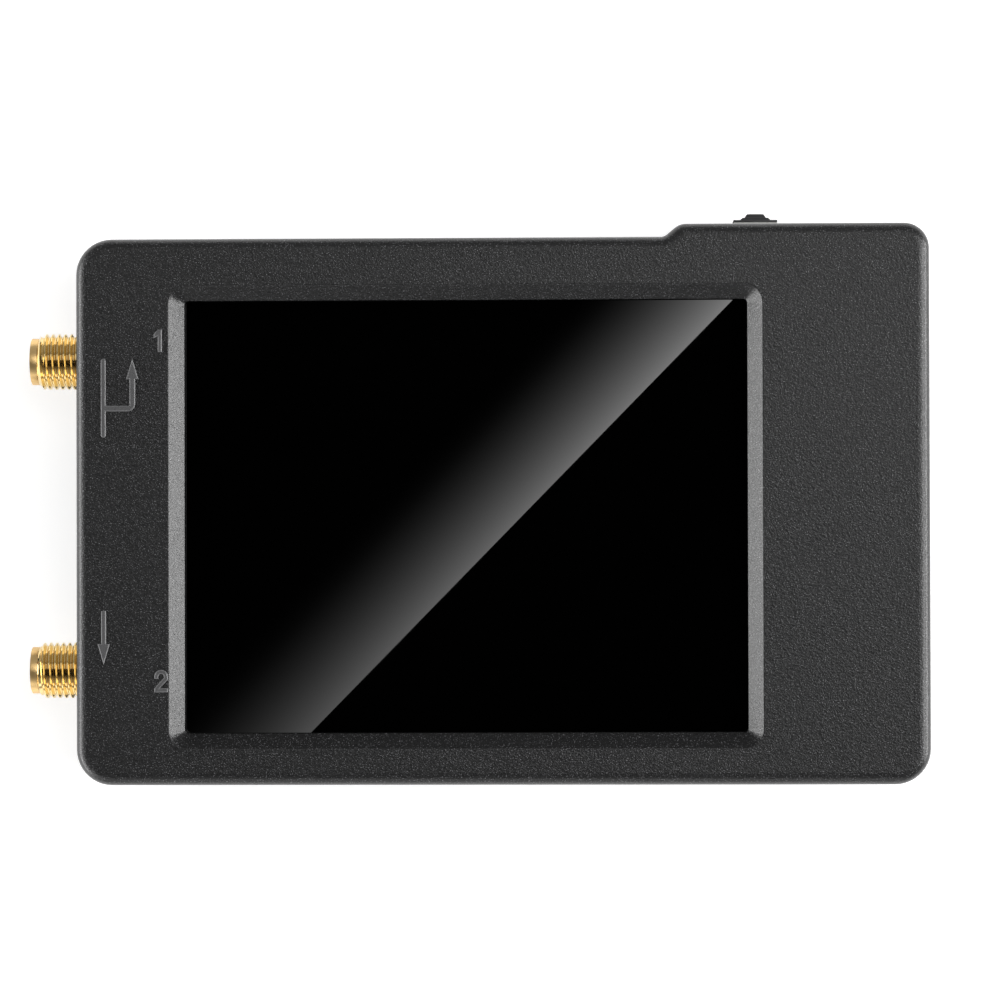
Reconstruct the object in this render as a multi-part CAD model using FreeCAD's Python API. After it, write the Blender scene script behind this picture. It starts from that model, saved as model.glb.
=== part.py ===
import FreeCAD, Part
import math
import os
from FreeCAD import Vector

# Pocket antenna analyzer with a touch screen, lying on its back.
# +X points away from the two coaxial ports, +Y towards the lever, +Z out of the screen.
# The origin is the middle of the case's plan rectangle, on its back face. Millimetres.

# ---------------------------------------------------------------- case mouldings
wall = 2.0                 # side walls
rear_wall = 2.0            # floor of the rear cover
corner_radius = 4.0        # corners seen from the front
raised_corner_radius = 2.8 # the corner of the raised part
edge_radius = 1.4          # rounded edge round the front and the back
parting_bevel = 0.15       # small bevel on both sides of the parting line
raised_height = 1.45       # step in the top edge, over the lever
raised_length = 29.4       # from the right side to the foot of the ramp
ramp_angle = 39.8          # degrees
ramp_foot_radius = 1.2
ramp_head_radius = 1.9
least_radius = 0.3         # smallest corner of any outline moved inwards
join_overlap = 0.2         # how far shapes reach into each other where they are fused

# lap joint between the two mouldings
lip_height = 1.2
lip_thickness = 0.9
lip_gap = 0.1
lip_break_margin = 1.2     # the lap stops this far from each hole on the parting line

# ---------------------------------------------------------------- screen window
window_length = 62.8
window_height = 48.3
window_corner_radius = 0.5
bezel_chamfer = 1.6        # sloping frame round the window
bezel_corner_radius = 2.1  # its outer corners
bezel_lip = 0.7            # upright edge under the slope
bezel_edge_radius = 0.2    # softened edges of the slope

# ---------------------------------------------------------------- display stack, front to back
gasket_thickness = 0.3
touch_thickness = 1.1
glass_thickness = 1.1
backlight_thickness = 1.4
display_tape_thickness = 0.3
panel_cover_left = 1.15    # how far the panel reaches behind the window frame
panel_cover_right = 5.45
panel_cover_ends = 0.9
gasket_inset = 0.2         # from the panel's edge
gasket_window_gap = 0.15   # from the window's edge
backlight_inset = 0.3
display_tape_inset = 1.15
panel_corner_radius = 0.4

# ---------------------------------------------------------------- main board
board_thickness = 1.6
board_gap_left = 3.3       # board edge to inner wall
board_gap_right = 2.2
board_gap_bottom = 0.82
board_gap_top = 1.98
board_corner_radius = 1.0
panel_inset_right = 10.5   # board edge to panel edge
panel_inset_bottom = 1.99
panel_inset_top = 2.01
screw_inset = 2.75         # screw centre to the board's edges
boss_radius = 2.1          # bosses in the front shell
boss_to_panel = 0.75

# ---------------------------------------------------------------- case screws
screw_radius = 1.0
screw_head_radius = 1.9
screw_head_height = 1.3
screw_sink = 0.3           # head below the back face
screw_bite = 3.6           # length in the boss
screw_hole_gap = 0.15
screw_pilot_gap = 0.02
screw_pilot_extra = 0.3    # pilot hole beyond the screw's tip
screw_head_round = 0.45
head_hole_gap = 0.3
column_radius = 2.5
cross_width = 0.5
cross_length = 2.2
cross_depth = 0.7

# ---------------------------------------------------------------- coaxial ports
port_1_from_top = 13.29    # case's plain top edge to the port's axis
port_2_from_bottom = 12.56 # case's bottom edge to the port's axis
flange_size = 6.35
flange_thickness = 1.7
barrel_length = 9.6        # in front of the flange
barrel_radius = 2.95       # plain part, inside the wall
port_hole_gap = 0.3
nose_radius = 2.65
nose_length = 0.82
nose_round = 0.15
thread_lead_in = 0.3       # cone from the nose to the thread
thread_radius = 3.175
thread_depth = 0.4
thread_pitch = 0.7056
thread_crest = 0.21
thread_flank_angle = 30    # degrees from the crest's normal
thread_run_in = 0.15       # slopes before the first root and after the last
thread_start = 1.65        # first full crest, from the tip
socket_radius = 2.32
socket_depth = 1.9
insulator_radius = 2.05
insulator_set_back = 0.05
contact_radius = 0.635
contact_bore_radius = 0.47
contact_bore_depth = 2.6
contact_tail_radius = 0.4
contact_tail_length = 2.2
leg_length = 4.0
leg_width = 1.2
leg_thickness = 0.9

# ---------------------------------------------------------------- USB-C socket
usb_from_centre = -0.58    # along the right edge
usb_width = 8.94
usb_height = 3.2
usb_depth = 7.6
usb_overhang = 1.5         # beyond the board's edge
usb_metal = 0.3
usb_tongue_width = 6.7
usb_tongue_thickness = 0.7
usb_tongue_recess = 0.9
usb_block_depth = 2.0
usb_contact_pitch = 0.5
usb_contact_width = 0.26
usb_contact_thickness = 0.05
usb_contact_end = 0.6      # from the tongue's tip
usb_contacts_per_side = 12
usb_hole_gap = 0.25        # wall opening round the socket
usb_recess_width = 12.6
usb_recess_height = 6.8
usb_recess_depth = 1.5

# ---------------------------------------------------------------- power switch
switch_from_top = 17.4     # case's plain top edge to the middle of the switch
switch_length = 9.1
switch_width = 3.5
switch_height = 3.5
switch_travel = 2.0
switch_metal = 0.3
switch_knob = 1.5
switch_slider_length = 3.6
switch_slider_depth = 1.7
switch_slider_height = 1.7
switch_gap = 0.1
switch_end_gap = 0.4
switch_tab_inset = 0.6
switch_knob_sink = 0.3     # knob's tip below the case's side
thumb_recess_length = 10.0
thumb_recess_height = 6.0
thumb_recess_depth = 0.9

# ---------------------------------------------------------------- lever switch
lever_from_right = 18.9    # right side to the lever's axis
lever_pivot_inset = 2.62   # board's top edge to the pivot
rock_angle = 8.0           # degrees to each side
push_travel = 0.3
lever_base_floor = 0.3
lever_base_wall = 0.8
lever_base_inner = 6.0     # width between the side walls
lever_base_rear = 0.4
lever_slide_gap = 0.1
carriage_plate = 0.5
carriage_front = 2.1       # pivot to the carriage's front
carriage_rear = 2.3        # pivot to the carriage's back
carriage_tail = 0.5        # thickness of its back wall
carriage_nub = 0.25
nub_radius = 0.45
spring_space = 0.6
spring_wire = 0.3
spring_radius = 1.1
eye_thickness = 0.9
eye_radius = 1.6
pin_radius = 0.6
pin_sink = 0.1             # pin's end below the carriage plate's far face
pin_gap = 0.05
lever_cover_gap = 0.25
lever_cover_metal = 0.2
cover_leg_inset = 0.8
cover_leg_width = 1.2
front_stop_width = 1.0
front_stop_depth = 0.3
dome_radius = 1.0
dome_rise = 0.25
dome_thickness = 0.08
dome_gap = 0.1             # left when the lever is fully pushed
neck_width = 2.0
stem_thickness = 2.0
stem_step_gap = 0.6        # front stops to the thick part of the stem
shoulder_width = 4.9
shoulder_gap = 0.3         # case edge to the shoulder
shoulder_top = 0.75        # heights above the case edge
cap_rim_top = 1.0
cap_step_top = 1.27
cap_top = 1.74
cap_rim_width = 4.96
cap_step_width = 2.86
cap_top_width = 1.92
cap_thickness = 2.4
cap_bevel = 0.25
cap_rim_land = 0.5         # flat part of the rim, then a shallow groove
cap_groove_width = 0.15
cap_groove_depth = 0.1
cap_step_land = 0.23
cap_crown = 0.06           # rise of the top's middle
cap_crown_radius = 4.0
cap_edge_radius = 0.15
shoulder_inset = 0.1       # from the cap's front and back
lever_slot_gap = 0.4

# ---------------------------------------------------------------- battery
battery_length = 50.0
battery_width = 34.0
battery_thickness = 4.2
battery_edge_radius = 1.2
battery_from_left = 9.2    # board's left edge to the cell
battery_tape_thickness = 0.2
battery_tape_inset = 3.0
battery_headroom = 0.8     # cell to the shield covers
battery_corner_radius = 1.0
tab_board_length = 3.0
tab_board_width = 14.0
tab_board_thickness = 1.0
lead_from_tab_end = 2.5
lead_radius = 0.45
lead_spacing = 1.25
lead_run = 9.0             # along X, tab board to plug
lead_end_run = 2.0
lead_bend_share = 0.45     # of the end run, taken by each bend
plug_from_centre = -11.5   # along Y
plug_length = 5.8
plug_width = 3.8
plug_height = 2.4
socket_wall = 0.5
socket_gap = 0.1
plug_mouth = 2.0           # how much of the plug stays outside

# ---------------------------------------------------------------- parts on the board's back
shield_length = 23.5
shield_width = 17.0
shield_height = 2.0
shield_metal = 0.2
shield_skirt = 1.2
shield_skirt_gap = 0.03
shield_from_left = 6.7
shield_from_ends = 5.0
flex_thickness = 0.16
flex_rise = 0.33           # above the rear face of the glass it leaves
lcd_flex_width = 20.0
lcd_flex_offset = 4.0      # below the panel's middle
touch_flex_width = 6.0
touch_flex_inset = 5.0     # from the panel's top edge
flex_drop_start = 1.0      # beyond the panel's edge
flex_drop_length = 1.8
flex_bend_share = 0.3      # of the drop's length, taken by each of its two bends
flex_bend_fall = 0.15      # of the drop's height, made in each bend
lcd_flex_reach = 8.0       # beyond the panel's edge
touch_flex_reach = 5.5
so8_length = 4.9           # eight-legged chips: mixers and charger
so8_width = 3.9
so8_height = 1.5
so8_pitch = 1.27
fine_pitch = 0.5           # legs of the clock generator and the microcontroller
clock_side = 3.0
clock_height = 0.9
oscillator_length = 3.2
oscillator_width = 2.5
oscillator_height = 1.0
controller_side = 7.0
controller_height = 1.4
controller_legs = 12       # on each side
codec_side = 5.0
codec_height = 0.9
inductor_side = 4.0
inductor_height = 2.0
inductor_corner = 0.6
leg_foot_length = 1.0
leg_foot_height = 0.3
leg_foot_overlap = 0.1     # under the chip's edge
leg_metal_share = 0.45     # of the pitch
chip_stand = 0.1
chip_gap = 2.5             # between chips inside a shield
chip_to_shield = 3.5
controller_to_shield = 5.4
controller_from_top = 11.5
codec_from_bottom = 15.5
charger_step = 13.0        # microcontroller's middle to the charger's
inductor_step = 7.0        # charger's middle to the inductor's
column_step = 2.3          # pitch of the small parts in a column
column_offset = 6.6        # microcontroller's middle to each column
column_from_ends = 11.5
small_part_length = 1.6
small_part_width = 0.8
resistor_height = 0.45
capacitor_height = 0.8
led_height = 0.6
led_step = 1.8
led_inset = 0.4            # from the board's right edge
led_gap = 1.5              # to the USB-C socket

# ---------------------------------------------------------------- raised marks on the front
mark_height = 0.2
mark_bevel = 0.1           # on the upper edges of each mark
mark_stroke = 0.55         # bar and downward arrow
branch_stroke = 0.64
mark_end_radius = 0.24
mark_bend_radius = 0.85    # outer side of the branch's bend
digit_height = 2.5
digit_stroke = 0.46
flag_width = 0.45          # figure 1, left of its stem
flag_drop = 0.5
two_width = 1.52           # figure 2
two_hook_drop = 1.0        # top to the end of the hook
two_slant_drop = 1.1       # top to where the bowl turns into the slant
two_slant_radius = 0.35
two_slant_foot = 0.62
arrow_head_width = 1.38
arrow_head_length = 2.3
mark_from_left = 3.21
mark_arrow_step = 3.24     # bar to the upward arrow
mark_top_drop = 0.1        # port 1's axis to the bar's top
mark_bar_length = 8.77
mark_branch_drop = 5.65    # port 1's axis to the branch's middle
down_arrow_lift = 0.94     # port 2's axis to the arrow's tip
down_arrow_length = 5.95
digit_from_left = 8.85
one_lift = 0.62            # port 1's axis to the foot of its figure
two_drop = 2.15            # port 2's axis to the foot of its figure

# ================================================================ derived places
# heights, stacked up from the back face: battery, board, display, window frame
battery_z0 = rear_wall + battery_tape_thickness
battery_mid_z = battery_z0 + battery_thickness / 2
board_back_z = (battery_z0 + battery_thickness + battery_headroom
                + shield_metal + shield_height)
board_front_z = board_back_z + board_thickness
display_tape_top_z = board_front_z + display_tape_thickness
backlight_top_z = display_tape_top_z + backlight_thickness
glass_top_z = backlight_top_z + glass_thickness
touch_top_z = glass_top_z + touch_thickness
front_inner_z = touch_top_z + gasket_thickness
bezel_floor_z = front_inner_z + bezel_lip
case_depth = bezel_floor_z + bezel_chamfer
port_z = board_back_z - contact_tail_radius
parting_z = port_z

# plan sizes, built up round the window
margin_left = (wall + board_gap_left + screw_inset + boss_radius
               + boss_to_panel + panel_cover_left)
margin_right = wall + board_gap_right + panel_inset_right + panel_cover_right
margin_bottom = wall + board_gap_bottom + panel_inset_bottom + panel_cover_ends
margin_top = wall + board_gap_top + panel_inset_top + panel_cover_ends
case_length = margin_left + window_length + margin_right
case_height = margin_bottom + window_height + margin_top

left_x = -case_length / 2
right_x = case_length / 2
bottom_y = -case_height / 2
top_y = case_height / 2
raised_y = top_y + raised_height
ramp_foot_x = right_x - raised_length
ramp_head_x = ramp_foot_x + raised_height / math.tan(math.radians(ramp_angle))

window_x0 = left_x + margin_left
window_x1 = window_x0 + window_length
window_y0 = bottom_y + margin_bottom
window_y1 = window_y0 + window_height

board_x0 = left_x + wall + board_gap_left
board_x1 = right_x - wall - board_gap_right
board_y0 = bottom_y + wall + board_gap_bottom
board_y1 = top_y - wall - board_gap_top

panel_x0 = window_x0 - panel_cover_left
panel_x1 = window_x1 + panel_cover_right
panel_y0 = window_y0 - panel_cover_ends
panel_y1 = window_y1 + panel_cover_ends

screw_places = [(x, y)
                for x in (board_x0 + screw_inset, board_x1 - screw_inset)
                for y in (board_y0 + screw_inset, board_y1 - screw_inset)]
screw_head_z = screw_sink + screw_head_height
screw_tip_z = board_front_z + screw_bite

port_1_y = top_y - port_1_from_top
port_2_y = bottom_y + port_2_from_bottom
port_tip_x = board_x0 - flange_thickness - barrel_length
port_hole_radius = thread_radius + port_hole_gap
thread_count = int((left_x - port_tip_x - thread_start) / thread_pitch) + 1

usb_mouth_x = board_x1 + usb_overhang
usb_z = board_back_z - usb_height / 2

switch_y = top_y - switch_from_top
switch_z = board_back_z - switch_height / 2
switch_x0 = board_x1 - switch_width
knob_tip_x = right_x - switch_knob_sink
knob_rest_y = switch_y - switch_travel / 2

lever_x = right_x - lever_from_right
pivot_y = board_y1 - lever_pivot_inset
lever_floor_z = board_back_z - lever_base_floor
carriage_z1 = lever_floor_z - lever_slide_gap
carriage_z0 = carriage_z1 - carriage_plate
pin_top_z = carriage_z1 - pin_sink
eye_z1 = carriage_z0 - spring_space
eye_z0 = eye_z1 - eye_thickness
lever_cover_z = eye_z0 - lever_cover_gap
lever_mid_z = (lever_floor_z + eye_z0) / 2 + (board_back_z - lever_floor_z) / 2
front_stop_y = pivot_y + carriage_front + lever_slide_gap
base_front_y = front_stop_y + front_stop_depth
nub_y = pivot_y - carriage_rear - carriage_nub
dome_tip_y = nub_y - push_travel - dome_gap
base_rear_y = dome_tip_y - dome_rise
rock = math.radians(rock_angle)
lever_reach = raised_y + cap_rim_top - pivot_y
lever_swing = cap_rim_width / 2 * math.cos(rock) + lever_reach * math.sin(rock)
lever_slot_half = lever_swing + lever_slot_gap

battery_x0 = board_x0 + battery_from_left
battery_x1 = battery_x0 + battery_length
tab_board_x1 = battery_x1 + tab_board_length
plug_x0 = tab_board_x1 + lead_run
battery_socket_x0 = plug_x0 + plug_mouth
battery_socket_height = plug_height + 2 * (socket_wall + socket_gap)
plug_z = board_back_z - battery_socket_height / 2

shield_x0 = board_x0 + shield_from_left
controller_x = shield_x0 + shield_length + controller_to_shield + controller_side / 2
controller_y = board_y1 - controller_from_top - controller_side / 2
shield_rows = (board_y0 + shield_from_ends,
               board_y1 - shield_from_ends - shield_width)


# ================================================================ shape helpers
def box(x0, x1, y0, y1, z0, z1):
    return Part.makeBox(x1 - x0, y1 - y0, z1 - z0, Vector(x0, y0, z0))


def post(x, y, z0, z1, radius):
    return Part.makeCylinder(radius, z1 - z0, Vector(x, y, z0))


def rod_x(x0, x1, y, z, radius):
    return Part.makeCylinder(radius, x1 - x0, Vector(x0, y, z), Vector(1, 0, 0))


def rounded_edges(points, radii, closed):
    """Straight runs through the points, with a tangent arc of each given radius."""
    count = len(points)
    starts = list(points)
    ends = list(points)
    arcs = {}
    inner = range(count) if closed else range(1, count - 1)
    for i in inner:
        here = points[i]
        into = (here - points[i - 1]).normalize()
        away = (points[(i + 1) % count] - here).normalize()
        turn = into.getAngle(away)
        if radii[i] <= 0 or turn < 1e-6:
            continue
        reach = radii[i] * math.tan(turn / 2)
        starts[i] = here - into * reach
        ends[i] = here + away * reach
        bisector = (away - into).normalize()
        crest = here + bisector * radii[i] * (1 / math.cos(turn / 2) - 1)
        arcs[i] = Part.Arc(starts[i], crest, ends[i]).toShape()
    edges = []
    for i in range(count):
        if i in arcs:
            edges.append(arcs[i])
        if i + 1 < count or closed:
            nxt = (i + 1) % count
            if ends[i].distanceToPoint(starts[nxt]) > 1e-7:
                edges.append(Part.LineSegment(ends[i], starts[nxt]).toShape())
    return edges


def outline_wire(corners, z):
    """Closed flat wire through (x, y, radius) corners at height z."""
    points = [Vector(x, y, z) for x, y, _ in corners]
    radii = [radius for _, _, radius in corners]
    return Part.Wire(rounded_edges(points, radii, True))


def prism(corners, z0, z1):
    face = Part.Face(outline_wire(corners, z0))
    return face.extrude(Vector(0, 0, z1 - z0))


def rectangle(x0, x1, y0, y1, radius):
    return [(x0, y0, radius), (x1, y0, radius), (x1, y1, radius), (x0, y1, radius)]


def case_outline(inset):
    """Plan of the case, moved inwards by inset, with the raised part at the right."""
    shift = inset * math.tan(math.radians(ramp_angle) / 2)
    corner = max(corner_radius - inset, least_radius)
    raised_corner = max(raised_corner_radius - inset, least_radius)
    head = max(ramp_head_radius - inset, least_radius)
    return [
        (left_x + inset, bottom_y + inset, corner),
        (right_x - inset, bottom_y + inset, corner),
        (right_x - inset, raised_y - inset, raised_corner),
        (ramp_head_x + shift, raised_y - inset, head),
        (ramp_foot_x + shift, top_y - inset, ramp_foot_radius + inset),
        (left_x + inset, top_y - inset, corner),
    ]


def edges_at_height(shape, z):
    return [edge for edge in shape.Edges
            if all(abs(vertex.Z - z) < 1e-6 for vertex in edge.Vertexes)]


def fuse_all(shapes):
    return shapes[0].multiFuse(shapes[1:]).removeSplitter() if len(shapes) > 1 else shapes[0]


# ================================================================ case
def lap_ring(outer_inset, inner_inset, height, extra):
    """Ring of the lap joint above the parting line, stopped at each hole."""
    top = parting_z + height
    ring = prism(case_outline(outer_inset), parting_z, top)
    ring = ring.cut(prism(case_outline(inner_inset), parting_z - 1, top + 1))
    return ring.cut(Part.makeCompound(lap_breaks(extra)))


def lap_breaks(extra):
    side = lip_break_margin + extra
    z0 = parting_z - 1
    z1 = parting_z + lip_height + 1
    port = port_hole_radius + side
    usb = usb_recess_width / 2 + side
    thumb = thumb_recess_length / 2 + side
    lever = lever_slot_half + side
    left = (left_x - 1, left_x + wall + 1)
    right = (right_x - wall - 1, right_x + 1)
    return [
        box(*left, port_1_y - port, port_1_y + port, z0, z1),
        box(*left, port_2_y - port, port_2_y + port, z0, z1),
        box(*right, usb_from_centre - usb, usb_from_centre + usb, z0, z1),
        box(*right, switch_y - thumb, switch_y + thumb, z0, z1),
        box(lever_x - lever, lever_x + lever, raised_y - wall - 1, raised_y + 1, z0, z1),
    ]


def side_cutouts():
    """Ports, lever slot, socket opening and switch recess, shared by both mouldings."""
    through = wall + 1
    ports = [rod_x(left_x - 1, left_x + through, y, port_z, port_hole_radius)
             for y in (port_1_y, port_2_y)]
    lever = box(lever_x - lever_slot_half, lever_x + lever_slot_half,
                raised_y - through, raised_y + 1,
                lever_mid_z - cap_thickness / 2 - lever_slot_gap,
                lever_mid_z + cap_thickness / 2 + lever_slot_gap)
    usb_hole = side_slot(right_x - through, right_x + 1, usb_from_centre, usb_z,
                         usb_width + 2 * usb_hole_gap, usb_height + 2 * usb_hole_gap)
    usb_recess = side_slot(right_x - usb_recess_depth, right_x + 1, usb_from_centre, usb_z,
                           usb_recess_width, usb_recess_height)
    thumb = side_slot(right_x - thumb_recess_depth, right_x + 1, switch_y, switch_z,
                      thumb_recess_length, thumb_recess_height)
    knob_half = (switch_travel + switch_knob) / 2 + switch_end_gap
    knob = box(right_x - through, right_x + 1, switch_y - knob_half, switch_y + knob_half,
               switch_z - switch_knob / 2 - switch_end_gap, parting_z)
    return ports + [lever, usb_hole, usb_recess, thumb, knob]


def side_slot(x0, x1, y, z, length, height):
    """Slot through the right wall with fully rounded ends."""
    radius = height / 2
    bar = box(x0, x1, y - length / 2 + radius, y + length / 2 - radius,
              z - radius, z + radius)
    ends = [rod_x(x0, x1, y + side * (length / 2 - radius), z, radius) for side in (-1, 1)]
    return fuse_all([bar] + ends)


def window_cut():
    lip = prism(rectangle(window_x0, window_x1, window_y0, window_y1, window_corner_radius),
                front_inner_z - 1, case_depth + 1)
    low = outline_wire(rectangle(window_x0, window_x1, window_y0, window_y1,
                                 window_corner_radius), bezel_floor_z)
    high = outline_wire(rectangle(window_x0 - bezel_chamfer, window_x1 + bezel_chamfer,
                                  window_y0 - bezel_chamfer, window_y1 + bezel_chamfer,
                                  bezel_corner_radius), case_depth)
    slope = Part.makeLoft([low, high], True, True)
    return [lip, slope]


def window_edges(body):
    """Upper edge of the slope round the window."""
    reach = bezel_chamfer + 0.1
    return [edge for edge in edges_at_height(body, case_depth)
            if all(window_x0 - reach < v.X < window_x1 + reach
                   and window_y0 - reach < v.Y < window_y1 + reach
                   for v in edge.Vertexes)]


def mark(corners):
    return prism(corners, case_depth, case_depth + mark_height)


def bar_mark(x, y0, y1, end_radius=0):
    """Straight stroke along Y."""
    half = mark_stroke / 2
    return mark(rectangle(x - half, x + half, y0, y1, end_radius))


def arrow_head(x, tip_y, base_y):
    half = arrow_head_width / 2
    return mark([(x - half, base_y, 0), (x + half, base_y, 0), (x, tip_y, 0)])


def branch_mark(x0, x1, y0, y1):
    """Stroke from x0, y0 that bends up at x1 and ends at y1."""
    half = branch_stroke / 2
    return mark([(x0, y0 - half, 0), (x1 + half, y0 - half, mark_bend_radius),
                 (x1 + half, y1, 0), (x1 - half, y1, 0), (x1 - half, y0 + half, 0),
                 (x0, y0 + half, 0)])


def digit_one(x, y):
    """Figure 1 with its lower left corner at x, y."""
    stem_x = x + flag_width
    top = y + digit_height
    return mark([(stem_x, y, 0), (stem_x + digit_stroke, y, 0),
                 (stem_x + digit_stroke, top, 0), (stem_x, top, 0),
                 (x, top - flag_drop, 0), (x, top - flag_drop - digit_stroke, 0),
                 (stem_x, top - flag_drop - digit_stroke / 2, 0)])


def digit_two(x, y):
    """Figure 2 with its lower left corner at x, y."""
    top = y + digit_height
    right = x + two_width
    bowl = two_width / 2
    inner = bowl - digit_stroke
    inner_x0, inner_x1 = x + digit_stroke, right - digit_stroke
    inner_y = top - digit_stroke
    foot_y = y + digit_stroke
    return mark([(x, top - two_hook_drop, 0), (inner_x0, top - two_hook_drop, 0),
                 (inner_x0, inner_y, inner), (inner_x1, inner_y, inner),
                 (inner_x1, top - two_slant_drop + digit_stroke / 2, 0),
                 (x, foot_y, 0), (x, y, 0), (right, y, 0), (right, foot_y, 0),
                 (x + two_slant_foot, foot_y, 0),
                 (right, top - two_slant_drop, two_slant_radius),
                 (right, top, bowl), (x, top, bowl)])


def port_marks():
    """Signal arrows and figures beside the two ports."""
    bar_x = left_x + mark_from_left
    arrow_x = bar_x + mark_arrow_step
    branch_y = port_1_y - mark_branch_drop
    up_tip = port_1_y - mark_top_drop
    up_base = up_tip - arrow_head_length
    up = fuse_all([bar_mark(bar_x, up_tip - mark_bar_length, up_tip, mark_end_radius),
                   branch_mark(bar_x, arrow_x, branch_y, up_base + join_overlap),
                   arrow_head(arrow_x, up_tip, up_base)])
    down_tip = port_2_y + down_arrow_lift
    down_base = down_tip + arrow_head_length
    down = fuse_all([arrow_head(bar_x, down_tip, down_base),
                     bar_mark(bar_x, down_base - join_overlap, down_tip + down_arrow_length)])
    one = digit_one(left_x + digit_from_left, port_1_y + one_lift)
    two = digit_two(left_x + digit_from_left, port_2_y - two_drop)
    return [soft_edged(piece) for piece in (up, down, one, two)]


def soft_edged(piece):
    """The mark with its upper edges bevelled."""
    return piece.makeChamfer(mark_bevel, edges_at_height(piece, case_depth + mark_height))


def front_shell():
    body = prism(case_outline(0), parting_z, case_depth)
    body = body.makeFillet(edge_radius, edges_at_height(body, case_depth))
    body = body.makeChamfer(parting_bevel, edges_at_height(body, parting_z))
    body = body.cut(prism(case_outline(wall), parting_z - 1, front_inner_z))
    rebate = lap_ring(wall - lip_thickness - lip_gap, wall + 1, lip_height + lip_gap, 0)
    bosses = [post(x, y, board_front_z, front_inner_z + join_overlap, boss_radius)
              for x, y in screw_places]
    body = fuse_all([body.cut(rebate)] + bosses)
    pilots = [post(x, y, board_front_z - 1, screw_tip_z + screw_pilot_extra,
                   screw_radius + screw_pilot_gap) for x, y in screw_places]
    body = body.cut(Part.makeCompound(pilots))
    for cut in side_cutouts() + window_cut():
        body = body.cut(cut)
    body = body.makeFillet(bezel_edge_radius, window_edges(body))
    return fuse_all([body] + port_marks())


def rear_cover():
    body = prism(case_outline(0), 0, parting_z)
    body = body.makeFillet(edge_radius, edges_at_height(body, 0))
    body = body.makeChamfer(parting_bevel, edges_at_height(body, parting_z))
    body = body.cut(prism(case_outline(wall), rear_wall, parting_z + 1))
    lip = lap_ring(wall - lip_thickness, wall, lip_height, lip_gap)
    columns = [post(x, y, rear_wall - join_overlap, board_back_z, column_radius)
               for x, y in screw_places]
    body = fuse_all([body, lip] + columns)
    for x, y in screw_places:
        body = body.cut(post(x, y, -1, screw_head_z, screw_head_radius + head_hole_gap))
        body = body.cut(post(x, y, -1, board_back_z + 1, screw_radius + screw_hole_gap))
    for cut in side_cutouts():
        body = body.cut(cut)
    return body


def case_screw(x, y):
    head = post(x, y, screw_sink, screw_head_z, screw_head_radius)
    head = head.makeFillet(screw_head_round, edges_at_height(head, screw_sink))
    shank = post(x, y, screw_head_z - join_overlap, screw_tip_z, screw_radius)
    half, width = cross_length / 2, cross_width / 2
    z1 = screw_sink + cross_depth
    screw = fuse_all([head, shank])
    screw = screw.cut(box(x - half, x + half, y - width, y + width, 0, z1))
    return screw.cut(box(x - width, x + width, y - half, y + half, 0, z1))


def case_screws():
    return Part.makeCompound([case_screw(x, y) for x, y in screw_places])


# ================================================================ display
def panel(inset, z0, z1):
    return prism(rectangle(panel_x0 + inset, panel_x1 - inset, panel_y0 + inset,
                           panel_y1 - inset, panel_corner_radius), z0, z1)


def window_gasket():
    ring = panel(gasket_inset, touch_top_z, front_inner_z)
    gap = gasket_window_gap
    hole = prism(rectangle(window_x0 - gap, window_x1 + gap, window_y0 - gap,
                           window_y1 + gap, window_corner_radius),
                 touch_top_z - 1, front_inner_z + 1)
    return ring.cut(hole)


def ribbon(points, thickness, y0, y1):
    """Flat strip that follows (x, z) points, which run along its lower face."""
    upper = []
    for i, (x, z) in enumerate(points):
        before = points[max(i - 1, 0)]
        after = points[min(i + 1, len(points) - 1)]
        into = Vector(x - before[0], 0, z - before[1])
        away = Vector(after[0] - x, 0, after[1] - z)
        into = (into if into.Length > 0 else away).normalize()
        away = (away if away.Length > 0 else into).normalize()
        normal = Vector(-(into.z + away.z), 0, into.x + away.x).normalize()
        stretch = thickness / math.cos(into.getAngle(away) / 2)
        upper.append(Vector(x, y0, z) + normal * stretch)
    lower = [Vector(x, y0, z) for x, z in points]
    loop = lower + upper[::-1]
    wire = Part.makePolygon(loop + loop[:1])
    return Part.Face(wire).extrude(Vector(0, y1 - y0, 0))


def flex(start_z, reach, y0, y1):
    """Flat cable from the panel's right edge down onto the board."""
    drop_x = panel_x1 + flex_drop_start
    bend = flex_drop_length * flex_bend_share
    fall = (start_z - board_front_z) * flex_bend_fall
    points = [(panel_x1, start_z), (drop_x, start_z),
              (drop_x + bend, start_z - fall),
              (drop_x + flex_drop_length - bend, board_front_z + fall),
              (drop_x + flex_drop_length, board_front_z),
              (panel_x1 + reach, board_front_z)]
    return ribbon(points, flex_thickness, y0, y1)


def lcd_flex():
    middle = (panel_y0 + panel_y1) / 2 - lcd_flex_offset
    start = backlight_top_z + flex_rise
    return flex(start, lcd_flex_reach, middle - lcd_flex_width / 2, middle + lcd_flex_width / 2)


def touch_flex():
    y1 = panel_y1 - touch_flex_inset
    start = glass_top_z + flex_rise
    return flex(start, touch_flex_reach, y1 - touch_flex_width, y1)


# ================================================================ board and ports
def main_board():
    board = prism(rectangle(board_x0, board_x1, board_y0, board_y1, board_corner_radius),
                  board_back_z, board_front_z)
    for x, y in screw_places:
        board = board.cut(post(x, y, board_back_z - 1, board_front_z + 1,
                               screw_radius + screw_hole_gap))
    return board


def turned(profile, x0, y):
    """Solid of revolution about a port's axis, from (distance from x0, radius) points."""
    points = [Vector(x0 + along, y, port_z + radius) for along, radius in profile]
    face = Part.Face(Part.makePolygon(points + points[:1]))
    return face.revolve(Vector(x0, y, port_z), Vector(1, 0, 0), 360)


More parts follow.
